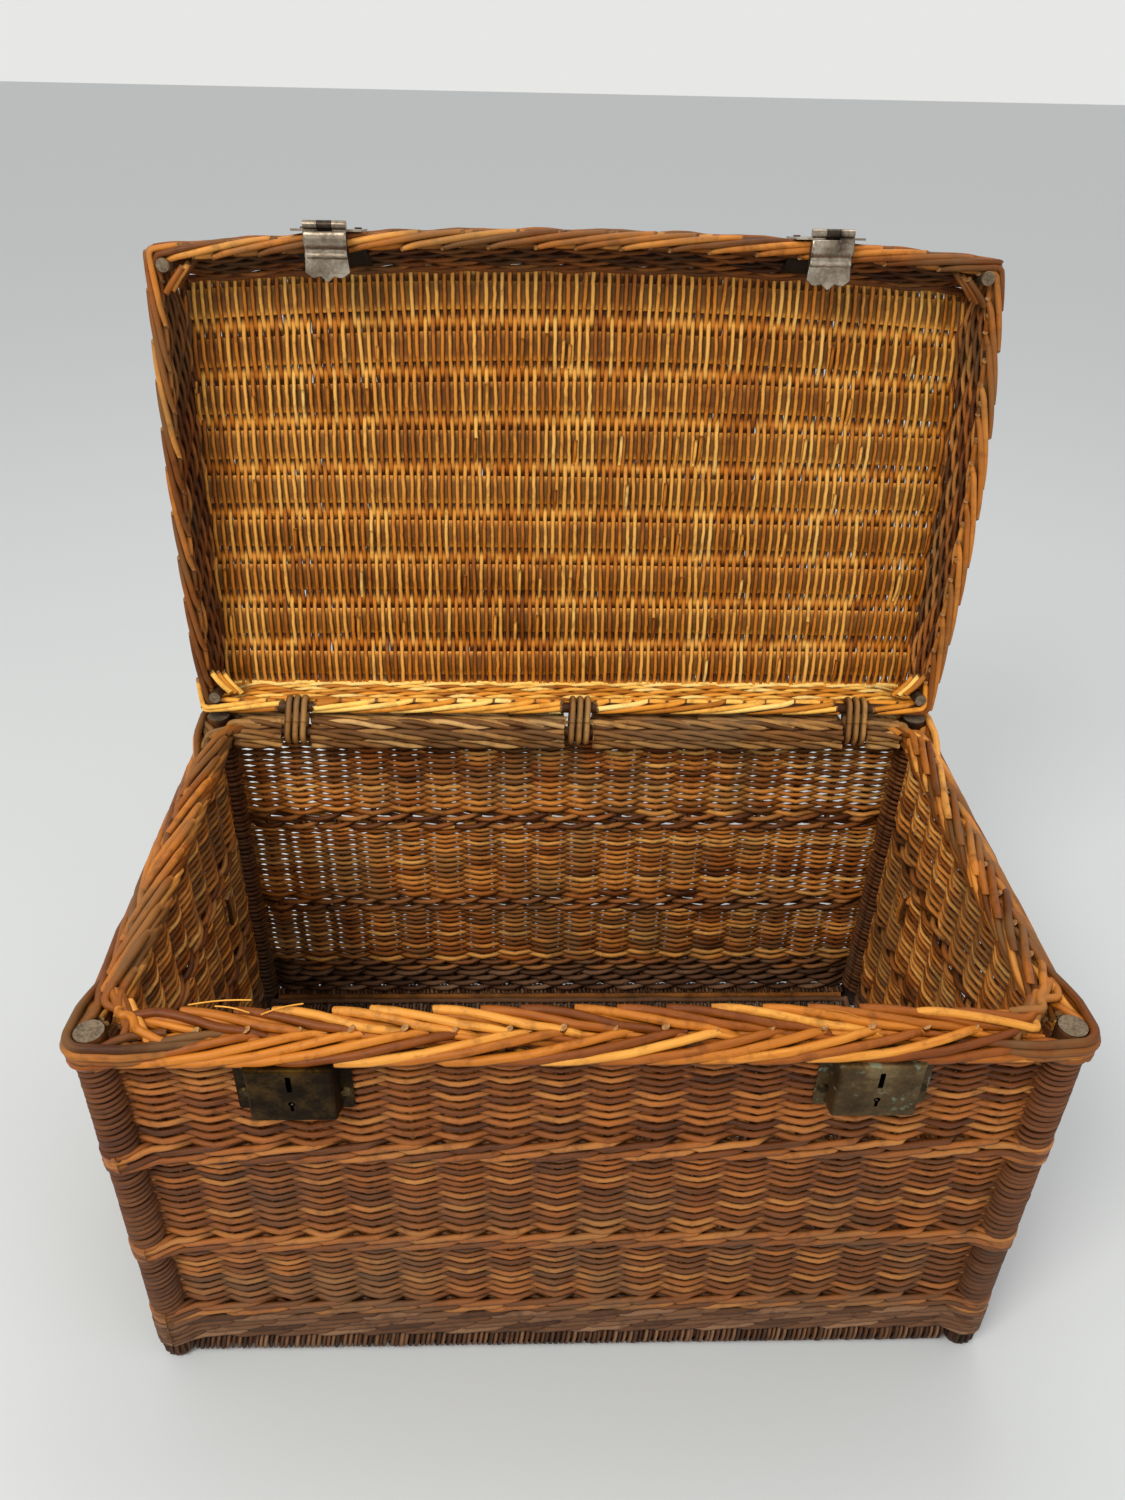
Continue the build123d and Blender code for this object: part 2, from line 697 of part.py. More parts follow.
# --------------------------------------------------------------------- hasps
for side_name, centre_x in lock_spots.items():
    pin_end = hasp_pin_half_length
    with BuildPart() as hasp_leaf:
        with BuildSketch(lid_face.offset(-leaf_face - leaf_thickness)):
            with Locations((-centre_x, (leaf_bottom + leaf_top) / 2)):
                Rectangle(2 * leaf_half_width, leaf_top - leaf_bottom)
            for arm in (-1, 1):
                arm_x = arm * (barrel_half_width + pin_end) / 2
                with Locations((-centre_x + arm_x, (hasp_axis_drop + leaf_bottom) / 2)):
                    Rectangle(pin_end - barrel_half_width, leaf_bottom - hasp_axis_drop)
            with Locations(*[(-x, z) for x, z in hasp_rivet_spots]):
                Circle(rivet_radius + snug, mode=Mode.SUBTRACT)
        extrude(amount=leaf_thickness)
        for arm in (-1, 1):
            arm_x = centre_x + arm * (barrel_half_width + pin_end) / 2
            with BuildSketch(lid_section.offset(arm_x)):
                with Locations((-hasp_axis_reach, hasp_axis_drop)):
                    Circle(barrel_radius)
            extrude(amount=(pin_end - barrel_half_width) / 2, both=True)
        with BuildSketch(lid_section.offset(centre_x)):
            with Locations((-hasp_axis_reach, hasp_axis_drop)):
                Circle(hasp_pin_radius + snug)
        extrude(amount=pin_end, both=True, mode=Mode.SUBTRACT)
    keep(hasp_leaf, f"hasp_leaf_{side_name}")

    with BuildPart() as hasp_backing:
        with BuildSketch(lid_face.offset(-side_front)):
            with Locations((-centre_x, (backing_bottom + backing_top) / 2)):
                Rectangle(2 * leaf_half_width, backing_top - backing_bottom)
            with Locations(*[(-x, z) for x, z in hasp_rivet_spots]):
                Circle(rivet_radius + snug, mode=Mode.SUBTRACT)
        extrude(amount=backing_thickness)
    keep(hasp_backing, f"hasp_backing_{side_name}")

    with BuildPart() as hasp_pin:
        with BuildSketch(Plane.YZ.offset(centre_x)):
            with Locations((hasp_y, hasp_z)):
                Circle(hasp_pin_radius)
        extrude(amount=pin_end, both=True)
    keep(hasp_pin, f"hasp_pin_{side_name}")

    # Strap: a middle barrel and a plate whose lower edge has a lobe each side
    # of a middle point.
    middle_half = barrel_half_width - barrel_gap
    strap_plane = Plane.XZ.offset(-hasp_y - strap_back)
    staple_z = hasp_z - staple_drop
    staple_leg_spots = [
        (centre_x, staple_z - staple_leg_offset),
        (centre_x, staple_z + staple_leg_offset),
    ]
    with BuildPart() as hasp_strap:
        with BuildSketch(Plane.YZ.offset(centre_x)):
            with Locations((hasp_y, hasp_z)):
                Circle(barrel_radius)
        extrude(amount=middle_half, both=True)
        with BuildSketch(strap_plane):
            with BuildLine():
                neck_z = hasp_z - strap_neck
                Polyline(
                    (centre_x - strap_half_width, hasp_z - strap_side_bottom),
                    (centre_x - strap_half_width, neck_z),
                    (centre_x - middle_half, neck_z),
                    (centre_x - middle_half, hasp_z - barrel_gap),
                    (centre_x + middle_half, hasp_z - barrel_gap),
                    (centre_x + middle_half, neck_z),
                    (centre_x + strap_half_width, neck_z),
                    (centre_x + strap_half_width, hasp_z - strap_side_bottom),
                )
                for side in (-1, 1):
                    ThreePointArc(
                        (centre_x + side * strap_half_width, hasp_z - strap_side_bottom),
                        (centre_x + side * strap_lobe_x, hasp_z - strap_lobe_bottom),
                        (centre_x + side * strap_notch_x, hasp_z - strap_notch),
                    )
                    Line(
                        (centre_x + side * strap_notch_x, hasp_z - strap_notch),
                        (centre_x, hasp_z - strap_length),
                    )
            make_face()
        extrude(amount=strap_thickness)
        with BuildSketch(Plane.YZ.offset(centre_x)):
            with Locations((hasp_y, hasp_z)):
                Circle(hasp_pin_radius + snug)
        extrude(amount=pin_end, both=True, mode=Mode.SUBTRACT)
        with BuildSketch(strap_plane):
            with Locations(*staple_leg_spots):
                Circle(staple_wire_radius + snug)
        extrude(amount=strap_thickness, mode=Mode.SUBTRACT)
    keep(hasp_strap, f"hasp_strap_{side_name}")

    # Staple: a wire loop whose legs pass through the strap and are headed over
    # on its face. The loop stands towards the trunk.
    with BuildPart() as hasp_staple:
        crown_y = hasp_y + staple_reach
        with BuildLine() as staple_path:
            Line(
                (centre_x, hasp_y, staple_z - staple_leg_offset),
                (centre_x, crown_y, staple_z - staple_leg_offset),
            )
            ThreePointArc(
                (centre_x, crown_y, staple_z - staple_leg_offset),
                (centre_x, crown_y + staple_leg_offset, staple_z),
                (centre_x, crown_y, staple_z + staple_leg_offset),
            )
            Line(
                (centre_x, crown_y, staple_z + staple_leg_offset),
                (centre_x, hasp_y, staple_z + staple_leg_offset),
            )
        with BuildSketch(Plane(origin=staple_path.line @ 0, z_dir=staple_path.line % 0)):
            Circle(staple_wire_radius)
        sweep(path=staple_path.line)
        with BuildSketch(Plane.XZ.offset(-hasp_y)):
            with Locations(*staple_leg_spots):
                Circle(staple_head_radius)
        extrude(amount=staple_head_height, taper=30)
    keep(hasp_staple, f"hasp_staple_{side_name}")

with BuildPart() as hasp_rivets:
    rivet_plane = lid_face.offset(-leaf_face - leaf_thickness)
    rivet_places = [(-x, z) for x, z in hasp_rivet_spots]
    rivet_depth = leaf_face + leaf_thickness - side_front + backing_thickness
    with BuildSketch(rivet_plane):
        with Locations(*rivet_places):
            Circle(rivet_radius)
    extrude(amount=rivet_depth)
    with BuildSketch(rivet_plane):
        with Locations(*rivet_places):
            Circle(rivet_head_radius)
    extrude(amount=-rivet_head_height)
    with BuildSketch(rivet_plane.offset(rivet_depth)):
        with Locations(*rivet_places):
            Circle(rivet_head_radius)
    extrude(amount=rivet_head_height)
keep(hasp_rivets, "hasp_rivets")
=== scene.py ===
"""Looks of the woven willow trunk basket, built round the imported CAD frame. Metres, the frame's axes."""

import json
import math

import bmesh
import bpy
import numpy as np
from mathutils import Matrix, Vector


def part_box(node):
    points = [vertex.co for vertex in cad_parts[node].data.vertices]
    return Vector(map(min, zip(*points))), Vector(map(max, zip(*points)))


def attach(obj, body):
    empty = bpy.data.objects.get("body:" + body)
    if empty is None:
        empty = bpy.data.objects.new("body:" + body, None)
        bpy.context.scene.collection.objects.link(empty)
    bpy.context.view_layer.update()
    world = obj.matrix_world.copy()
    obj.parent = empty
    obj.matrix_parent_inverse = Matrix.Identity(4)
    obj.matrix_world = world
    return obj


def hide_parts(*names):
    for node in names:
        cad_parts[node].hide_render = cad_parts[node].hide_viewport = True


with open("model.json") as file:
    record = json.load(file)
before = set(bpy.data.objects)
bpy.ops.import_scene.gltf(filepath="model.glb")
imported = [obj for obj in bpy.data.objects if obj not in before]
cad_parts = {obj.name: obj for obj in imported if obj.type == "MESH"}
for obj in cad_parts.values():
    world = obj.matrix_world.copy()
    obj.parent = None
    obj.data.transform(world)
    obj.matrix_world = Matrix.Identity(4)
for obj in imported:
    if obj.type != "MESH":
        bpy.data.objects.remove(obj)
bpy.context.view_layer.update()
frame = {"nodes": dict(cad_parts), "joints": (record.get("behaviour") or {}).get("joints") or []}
rng = np.random.default_rng(20)

# ------------------------------------------------------------------ places from the frame


def box(node):
    """Lowest and highest corner of a CAD node as two arrays."""
    low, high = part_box(node)
    return np.array(low), np.array(high)


def middle(node):
    """Centre of a CAD node's box."""
    low, high = box(node)
    return (low + high) / 2


HALF_X = middle("right_weave")[0]
HALF_Y = middle("back_weave")[1]
WALE_SPANS = {
    name: (box(name)[0][2], box(name)[1][2])
    for name in ("foot_wale", "lower_wale", "middle_wale", "upper_wale")
}
BORDER_BOTTOM, BORDER_TOP = box("border_front")[0][2], box("border_front")[1][2]
BANDS = (
    (WALE_SPANS["lower_wale"][1], WALE_SPANS["middle_wale"][0]),
    (WALE_SPANS["middle_wale"][1], WALE_SPANS["upper_wale"][0]),
    (WALE_SPANS["upper_wale"][1], BORDER_BOTTOM),
)
FOOT_TOP = WALE_SPANS["foot_wale"][0]
POST_R = 0.013
STAKE_R = 0.0035
STAKE_PITCH = 0.042
STAKES = {"front": 18, "right": 10, "back": 18, "left": 10}
CORNERS = ((-1, -1), (-1, 1), (1, -1), (1, 1))
HINGE_X = [middle(f"hinge_loops_{side}")[0] for side in ("left", "centre", "right")]
HINGE_WINDOW = 0.0132

# A corner's share of the way round a rounded rectangle, and its smallest radius.
CORNER_RUN = 0.030
CORNER_ROUND = 0.006

lid_joint = next(j for j in frame["joints"] if j["name"] == "lid_hinge")
HINGE_Y, HINGE_Z = lid_joint["pos_m"][1:]
OPEN = math.radians(lid_joint["range_deg"][1])
LID_WALL_X = 0.4065
LID_WALL_BACK, LID_WALL_FRONT = -0.0005, 0.4785
LID_MID = (LID_WALL_BACK + LID_WALL_FRONT) / 2
LID_HALF = (LID_WALL_FRONT - LID_WALL_BACK) / 2
LID_TOP = 0.049
LID_CROWN = 0.018
LATHS = 9
LATH_FIRST, LATH_PITCH = 0.032, 0.049
LID_UP = (0.0, math.sin(OPEN), math.cos(OPEN))

# The lid's front edge bows out between the hasps, and its ends bulge.
LID_REACH = 0.485
LID_BOW = 0.020
HASP_SHARE = 0.354
BULGE_RIGHT, BULGE_LEFT = 0.016, 0.005

# ------------------------------------------------------------------ geometry helpers


def upright(x, y, z):
    """Points of the trunk."""
    return np.stack(np.broadcast_arrays(x, y, z), axis=-1)


def lid_point(x, reach, height):
    """A point of the lid by its reach from the hinge and its height over the mouth.

    The front edge bows out between the hasps and falls back at the corners, and the ends bulge a little."""
    x, reach, height = np.broadcast_arrays(x, reach, height)
    share = np.clip(reach / LID_REACH, 0, 1)
    bow = LID_BOW * (HASP_SHARE - (x / LID_WALL_X) ** 2) * share ** 2
    bulge = np.where(x > 0, BULGE_RIGHT, BULGE_LEFT) * np.sin(math.pi * share) * (x / LID_WALL_X) ** 3
    x = x + bulge
    reach = reach + bow
    y = HINGE_Y - reach * math.cos(OPEN) + height * math.sin(OPEN)
    z = HINGE_Z + reach * math.sin(OPEN) + height * math.cos(OPEN)
    return upright(x, y, z)


def side_point(side, along, out, z):
    """A point by its place along a wall, its distance out from the wall's middle and its height.

    Places along a wall run to the right as seen from outside."""
    along, out, z = np.broadcast_arrays(along, out, z)
    x, y = {
        "front": (along, -(HALF_Y + out)),
        "right": (HALF_X + out, along),
        "back": (-along, HALF_Y + out),
        "left": (-(HALF_X + out), -along),
    }[side]
    return upright(x, y, z)


def stake_spots(side):
    """Places of the stakes along a wall."""
    return (np.arange(STAKES[side]) - (STAKES[side] - 1) / 2) * STAKE_PITCH


def ring_length(half_x, half_y):
    """Length of the way round a rounded rectangle as loop_xy counts it."""
    return 4 * (half_x + half_y + CORNER_RUN)


def loop_xy(run, out, half_x, half_y):
    """x and y on a rounded rectangle. run starts at the front left corner and goes to the right."""
    run, out = np.broadcast_arrays(np.asarray(run, float), np.asarray(out, float))
    run = run % ring_length(half_x, half_y)
    bend = np.maximum(out, CORNER_ROUND)
    x = np.zeros_like(run)
    y = np.zeros_like(run)
    start = 0.0
    for i in range(4):
        half_along, half_out = (half_x, half_y) if i % 2 == 0 else (half_y, half_x)
        flat = half_along + out - bend
        share = (run - start) / (2 * half_along)
        along = -flat + 2 * flat * share
        off = half_out + out
        angle = (run - start - 2 * half_along) / CORNER_RUN * math.pi / 2
        turned_along = flat + bend * np.sin(angle)
        turned_off = half_out + out - bend + bend * np.cos(angle)
        straight = (run >= start) & (run < start + 2 * half_along)
        turning = (run >= start + 2 * half_along) & (run < start + 2 * half_along + CORNER_RUN)
        for part, a, o in ((straight, along, off), (turning, turned_along, turned_off)):
            px, py = ((a, -o), (o, a), (-a, o), (-o, -a))[i]
            x = np.where(part, px, x)
            y = np.where(part, py, y)
        start += 2 * half_along + CORNER_RUN
    return x, y


def corner_nearness(run, half_x, half_y, reach):
    """1 on the four corners of loop_xy's way round, falling to 0 at a distance of reach from them."""
    run = np.asarray(run, float) % ring_length(half_x, half_y)
    near = np.full(run.shape, 1e9)
    start = 0.0
    for i in range(4):
        start += 2 * (half_x if i % 2 == 0 else half_y)
        for turn in (0.0, ring_length(half_x, half_y)):
            gap = np.abs(run - start - CORNER_RUN / 2 + turn) - CORNER_RUN / 2
            near = np.minimum(near, np.maximum(gap, 0))
        start += CORNER_RUN
    near = np.minimum(near, np.abs(run))
    share = np.clip(1 - near / reach, 0, 1)
    return share * share * (3 - 2 * share)


def pointed(t):
    """A wave of period 2 that is 1 at even numbers, -1 at odd ones and nearly straight between."""
    sharpness = 0.93
    return np.arcsin(sharpness * np.cos(math.pi * t)) / math.asin(sharpness)


def round_angles(sides):
    """Cosines and sines of a tube's corners, with one corner straight up."""
    phi = 2 * math.pi * np.arange(sides) / sides + math.pi / 2
    return np.cos(phi), np.sin(phi)


# Painted shade on a rod, from 0 to -1, by the sine of a place round it: 1 on top of the rod, -1 below it.
SHADE_ROUND_ROD = {
    "under": lambda sin: sin,
    "gaps": lambda sin: np.where(sin < 0, sin, -0.5 * sin ** 4),
    "flanks": lambda sin: -np.abs(sin) ** 1.9,
    "nowhere": lambda sin: 0 * sin,
}


def settle(piece, body, stands_for):
    """Puts a piece on its body, in place of the nodes it stands for."""
    bpy.context.scene.collection.objects.link(piece)
    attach(piece, body)
    if stands_for:
        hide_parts(*stands_for)


class Bundle:
    """Rods gathered into one mesh."""

    def __init__(self):
        self.verts, self.quads, self.caps = [], [], []
        self.tones, self.rods, self.deeps = [], [], []
        self.count = 0

    def add(self, paths, radii, up=(0, 0, 1), sides=6, slant=0.0, tones=None, flat=1.0, deep=0.0,
            soiled="under"):
        """Tubes along paths of shape (rods, points, 3). up is never along a rod.

        flat stretches a tube along up. deep is 1 where a rod is hidden, and darkens it there as painted
        shade. The last setting names where painted shade darkens a rod: "under" it, in the "gaps" below
        and above it, on both its "flanks" or "nowhere"."""
        paths = np.asarray(paths, float)
        if paths.ndim == 2:
            paths = paths[None]
        k, n, _ = paths.shape
        radii = np.broadcast_to(np.asarray(radii, float), (k, n))
        tangent = np.gradient(paths, axis=1)
        tangent /= np.linalg.norm(tangent, axis=2, keepdims=True) + 1e-12
        across = np.cross(tangent, np.asarray(up, float))
        across /= np.linalg.norm(across, axis=2, keepdims=True) + 1e-12
        rise = np.cross(across, tangent)
        cos, sin = round_angles(sides)
        flat = np.broadcast_to(np.asarray(flat, float), (k, n))[:, :, None, None]
        ring = cos[:, None] * across[:, :, None, :] + flat * sin[:, None] * rise[:, :, None, :]
        verts = paths[:, :, None, :] + radii[:, :, None, None] * ring
        if slant:
            for end, way in ((0, -1), (n - 1, 1)):
                lean = slant * way * radii[:, end, None] * sin
                verts[:, end] += lean[:, :, None] * tangent[:, end, None, :]
        if tones is None:
            tones = rng.random(k)
        step = np.linalg.norm(np.diff(paths, axis=1), axis=2)
        along = np.concatenate([np.zeros((k, 1)), np.cumsum(step, axis=1)], axis=1)
        rods = np.empty((k, n, sides, 3))
        rods[..., 0] = along[:, :, None]
        rods[..., 1] = cos
        # Third number: painted shade round the rod, on the side its setting names.
        rods[..., 2] = SHADE_ROUND_ROD[soiled](sin)
        index = np.arange(k * n * sides).reshape(k, n, sides) + self.count
        nxt = np.roll(index, -1, axis=2)
        quads = np.stack([index[:, :-1], nxt[:, :-1], nxt[:, 1:], index[:, 1:]], axis=-1)
        self.verts.append(verts.reshape(-1, 3))
        self.quads.append(quads.reshape(-1, 4))
        self.caps.append(index[:, 0, :])
        self.caps.append(index[:, -1, ::-1])
        tones = np.asarray(tones, float)
        tones = np.broadcast_to(tones[:, None] if tones.ndim == 1 else tones, (k, n))
        self.tones.append(np.repeat(tones.ravel(), sides))
        deep = np.asarray(deep, float)
        deep = deep if deep.ndim == 3 else np.broadcast_to(deep, (k, n))[:, :, None]
        self.deeps.append(np.broadcast_to(deep, (k, n, sides)).ravel())
        self.rods.append(rods.reshape(-1, 3))
        self.count += k * n * sides

    def make(self, name, body, skin, cut, stands_for, slot):
        """The gathered rods as one piece that rides on a body. Their ends show the cut material."""
        verts = np.concatenate(self.verts)
        quads = np.concatenate(self.quads)
        loops = [quads.ravel()]
        totals = [np.full(len(quads), 4)]
        for cap in self.caps:
            loops.append(cap.ravel())
            totals.append(np.full(len(cap), cap.shape[1]))
        loops = np.concatenate(loops)
        totals = np.concatenate(totals)
        starts = np.concatenate([[0], np.cumsum(totals)[:-1]])
        mesh = bpy.data.meshes.new(name)
        mesh.vertices.add(len(verts))
        mesh.vertices.foreach_set("co", verts.astype(np.float32).ravel())
        mesh.loops.add(len(loops))
        mesh.loops.foreach_set("vertex_index", loops.astype(np.int32))
        mesh.polygons.add(len(totals))
        mesh.polygons.foreach_set("loop_start", starts.astype(np.int32))
        is_cap = np.arange(len(totals)) >= len(quads)
        mesh.polygons.foreach_set("material_index", is_cap.astype(np.int32))
        mesh.update(calc_edges=True)
        mesh.polygons.foreach_set("use_smooth", ~is_cap)
        tone = mesh.attributes.new("tone", "FLOAT", "POINT")
        tone.data.foreach_set("value", np.concatenate(self.tones).astype(np.float32))
        deep = mesh.attributes.new("deep", "FLOAT", "POINT")
        deep.data.foreach_set("value", np.concatenate(self.deeps).astype(np.float32))
        rod = mesh.attributes.new("rod", "FLOAT_VECTOR", "POINT")
        rod.data.foreach_set("vector", np.concatenate(self.rods).astype(np.float32).ravel())
        mesh.materials.append(skin)
        mesh.materials.append(cut)
        mesh.validate()
        settle(bpy.data.objects.new(name, mesh), body, stands_for)


# ------------------------------------------------------------------ materials


def linear(r, g, b):
    """A colour given as eight-bit sRGB, made linear."""
    return tuple(
        (c / 12.92 if c <= 0.04045 else ((c + 0.055) / 1.055) ** 2.4) for c in (r / 255, g / 255, b / 255)
    ) + (1.0,)


class Nodes:
    """Short ways to build a node tree."""

    def __init__(self, name):
        self.material = bpy.data.materials.new(name)
        self.material.use_nodes = True
        self.tree = self.material.node_tree
        self.shader = self.tree.nodes["Principled BSDF"]

    def new(self, kind, **settings):
        node = self.tree.nodes.new(kind)
        for key, value in settings.items():
            setattr(node, key, value)
        return node

    def link(self, source, target):
        self.tree.links.new(source, target)

    def math(self, operation, a, b):
        node = self.new("ShaderNodeMath", operation=operation)
        for socket, value in zip(node.inputs, (a, b)):
            if isinstance(value, (int, float)):
                socket.default_value = value
            else:
                self.link(value, socket)
        return node.outputs[0]

    def weighted(self, *parts):
        """The sum of values, each times its weight."""
        total = None
        for value, weight in parts:
            part = self.math("MULTIPLY", value, weight)
            total = part if total is None else self.math("ADD", total, part)
        return total

    def place(self):
        """Where a point lies on the object."""
        return self.new("ShaderNodeTexCoord").outputs["Object"]

    def attribute(self, name, output="Fac"):
        return self.new("ShaderNodeAttribute", attribute_name=name).outputs[output]

    def part(self, vector, index):
        """One of a vector's three numbers."""
        node = self.new("ShaderNodeSeparateXYZ")
        self.link(vector, node.inputs[0])
        return node.outputs[index]

    def noise(self, vector, scale, detail=3.0, roughness=0.55):
        node = self.new("ShaderNodeTexNoise")
        node.inputs["Scale"].default_value = scale
        node.inputs["Detail"].default_value = detail
        node.inputs["Roughness"].default_value = roughness
        self.link(vector, node.inputs["Vector"])
        return node.outputs["Fac"]

    def ramp(self, value, stops):
        node = self.new("ShaderNodeValToRGB")
        ramp = node.color_ramp
        while len(ramp.elements) < len(stops):
            ramp.elements.new(0.5)
        for element, (place, colour) in zip(ramp.elements, stops):
            element.position = place
            element.color = colour
        self.link(value, node.inputs[0])
        return node.outputs["Color"]

    def spread(self, value, low, high, to_low=0.0, to_high=1.0):
        node = self.new("ShaderNodeMapRange")
        for i, number in enumerate((low, high, to_low, to_high)):
            node.inputs[i + 1].default_value = number
        self.link(value, node.inputs[0])
        return node.outputs[0]

    def mix(self, factor, a, b):
        node = self.new("ShaderNodeMix", data_type="RGBA")
        for socket, value in ((node.inputs[0], factor), (node.inputs[6], a), (node.inputs[7], b)):
            if isinstance(value, (int, float, tuple)):
                socket.default_value = value
            else:
                self.link(value, socket)
        return node.outputs[2]

    def bump(self, height, strength, distance):
        node = self.new("ShaderNodeBump")
        node.inputs["Strength"].default_value = strength
        node.inputs["Distance"].default_value = distance
        self.link(height, node.inputs["Height"])
        return node.outputs[0]


# Streaks are long along a rod, and each rod's pattern is moved by its tone.
STREAK_STRETCH = (22.0, 0.9, 0.9)
MOVE_ALONG, MOVE_ROUND = 61.0, 17.0
SKIN_STOPS = (0.12, 0.42, 0.68, 0.92)
SKIN_SHINE = 0.22
# Darkness of the painted shade colour, as a share of each skin's dark colour.
PAINTED_SHADE_LEVEL = 0.16
# How far painted shade darkens the shaded side of each rod.
UNDERSIDE = 0.80


def willow(name, *skin, rough=0.5, grey=None, low_grey=False):
    """Aged willow skin from its dark, middle, light and pale colours.

    Each rod has its own tone, with streaks along it and dirt. Old skin is grey in patches, and with
    low_grey it is greyest near the floor."""
    n = Nodes(name)
    skin = [linear(*colour) for colour in skin]
    place = n.place()
    tone = n.attribute("tone")
    rod = n.attribute("rod", "Vector")
    shift = n.new("ShaderNodeCombineXYZ")
    n.link(n.math("MULTIPLY", tone, MOVE_ALONG), shift.inputs[0])
    n.link(n.math("MULTIPLY", tone, MOVE_ROUND), shift.inputs[2])
    stretched = n.new("ShaderNodeVectorMath", operation="MULTIPLY")
    stretched.inputs[1].default_value = STREAK_STRETCH
    n.link(rod, stretched.inputs[0])
    moved = n.new("ShaderNodeVectorMath", operation="ADD")
    n.link(stretched.outputs[0], moved.inputs[0])
    n.link(shift.outputs[0], moved.inputs[1])
    streak = n.noise(moved.outputs[0], 1.6, 5.0, 0.6)
    fine = n.noise(moved.outputs[0], 9.0, 3.0, 0.7)
    patch = n.noise(place, 9.0, 2.0)
    dirt = n.noise(place, 60.0, 4.0, 0.65)
    value = n.math("SUBTRACT", n.weighted((tone, 0.62), (streak, 0.30), (patch, 0.30)), 0.10)
    colour = n.ramp(value, tuple(zip(SKIN_STOPS, skin)))
    scuffed = n.spread(dirt, 0.52, 0.72, 0.0, 0.55)
    colour = n.mix(scuffed, colour, skin[0])
    if grey is not None:
        greyness = n.spread(n.noise(place, 14.0, 3.0), 0.45, 0.62, 0.0, 0.6)
        if low_grey:
            low = n.spread(n.part(place, 2), 0.02, 0.36, 0.85, 0.12)
            greyness = n.math("MULTIPLY", n.math("ADD", greyness, 0.45), low)
        colour = n.mix(greyness, colour, linear(*grey))
    # Painted shade: rods deep in the weave, where they cross or lie behind others, are mixed towards a
    # near-black copy of the dark colour.
    painted_shade_colour = tuple(PAINTED_SHADE_LEVEL * c for c in skin[0][:3]) + (1.0,)
    colour = n.mix(n.math("MULTIPLY", n.attribute("deep"), 0.9), colour, painted_shade_colour)
    # Painted shade on the side of each rod picked when it was built, mixed towards the same near-black
    # colour.
    underside = n.spread(n.part(rod, 2), -0.10, -0.86, 0.0, UNDERSIDE)
    colour = n.mix(underside, colour, painted_shade_colour)
    n.link(colour, n.shader.inputs["Base Color"])
    n.link(n.spread(streak, 0.3, 0.75, rough - 0.10, rough + 0.22), n.shader.inputs["Roughness"])
    n.shader.inputs["Specular IOR Level"].default_value = SKIN_SHINE
    relief = n.weighted((fine, 0.6), (streak, 0.6))
    n.link(n.bump(relief, 0.55, 0.0006), n.shader.inputs["Normal"])
    return n.material


def cut_willow(name, rim, core):
    """Sawn or cut rod end: growth rings and a dusty core."""
    n = Nodes(name)
    place = n.place()
    grain = n.noise(place, 420.0, 3.0)
    broad = n.noise(place, 55.0, 2.0)
    value = n.weighted((grain, 0.6), (broad, 0.4))
    n.link(n.ramp(value, ((0.35, linear(*rim)), (0.62, linear(*core)))), n.shader.inputs["Base Color"])
    n.shader.inputs["Roughness"].default_value = 0.85
    n.link(n.bump(grain, 0.5, 0.0006), n.shader.inputs["Normal"])
    return n.material


def metal(name, dark, mid, bright, stain, rough, metallic, stain_at=0.62):
    """Old metal: smoky tone, lighter worn places, stains and fine pits."""
    n = Nodes(name)
    dark, mid, bright, stain = (linear(*colour) for colour in (dark, mid, bright, stain))
    place = n.place()
    cloud = n.noise(place, 28.0, 4.0, 0.6)
    fine = n.noise(place, 320.0, 4.0, 0.7)
    spots = n.noise(place, 75.0, 3.0, 0.6)
    value = n.weighted((cloud, 0.75), (fine, 0.25))
    colour = n.ramp(value, ((0.34, dark), (0.50, mid), (0.68, bright)))
    stained = n.spread(spots, stain_at, stain_at + 0.08, 0.0, 0.8)
    colour = n.mix(stained, colour, stain)
    n.link(colour, n.shader.inputs["Base Color"])
    n.link(n.spread(stained, 0.0, 0.8, metallic, metallic * 0.3), n.shader.inputs["Metallic"])
    n.link(n.spread(value, 0.35, 0.7, rough + 0.18, rough - 0.08), n.shader.inputs["Roughness"])
    relief = n.weighted((fine, 0.5), (spots, 0.5))
    n.link(n.bump(relief, 0.35, 0.0005), n.shader.inputs["Normal"])
    return n.material


RUST = willow("willow", (54, 22, 3), (128, 67, 20), (170, 98, 38), (198, 136, 68),
              rough=0.43, grey=(98, 73, 48), low_grey=True)
INNER = willow("willow_inner", (58, 24, 2), (164, 90, 28), (228, 146, 62),
               (250, 192, 104), grey=(128, 92, 50))
HONEY = willow("willow_honey", (74, 29, 3), (142, 75, 17), (190, 114, 34),
               (232, 168, 74), rough=0.36)
LASHING = willow("willow_lashing", (38, 16, 4), (90, 47, 19), (122, 72, 34),
                 (150, 102, 54), grey=(80, 60, 42), low_grey=True)
RIM = willow("willow_rim", (60, 28, 6), (136, 75, 22), (190, 116, 42),
             (228, 164, 78), rough=0.45, grey=(112, 82, 46))
GREY = willow("willow_grey", (48, 30, 17), (100, 72, 48), (136, 104, 74),
              (168, 140, 106), rough=0.6, grey=(92, 76, 60))
FOOT = willow("willow_foot", (36, 18, 8), (94, 60, 36), (118, 82, 55),
              (142, 106, 76), rough=0.6)
TAN = willow("willow_tan", (56, 29, 8), (130, 84, 38), (178, 130, 70),
             (218, 176, 114), rough=0.52, grey=(120, 92, 60))
GOLD = willow("willow_gold", (110, 46, 2), (214, 128, 34), (252, 182, 80),
              (255, 222, 136), rough=0.34)
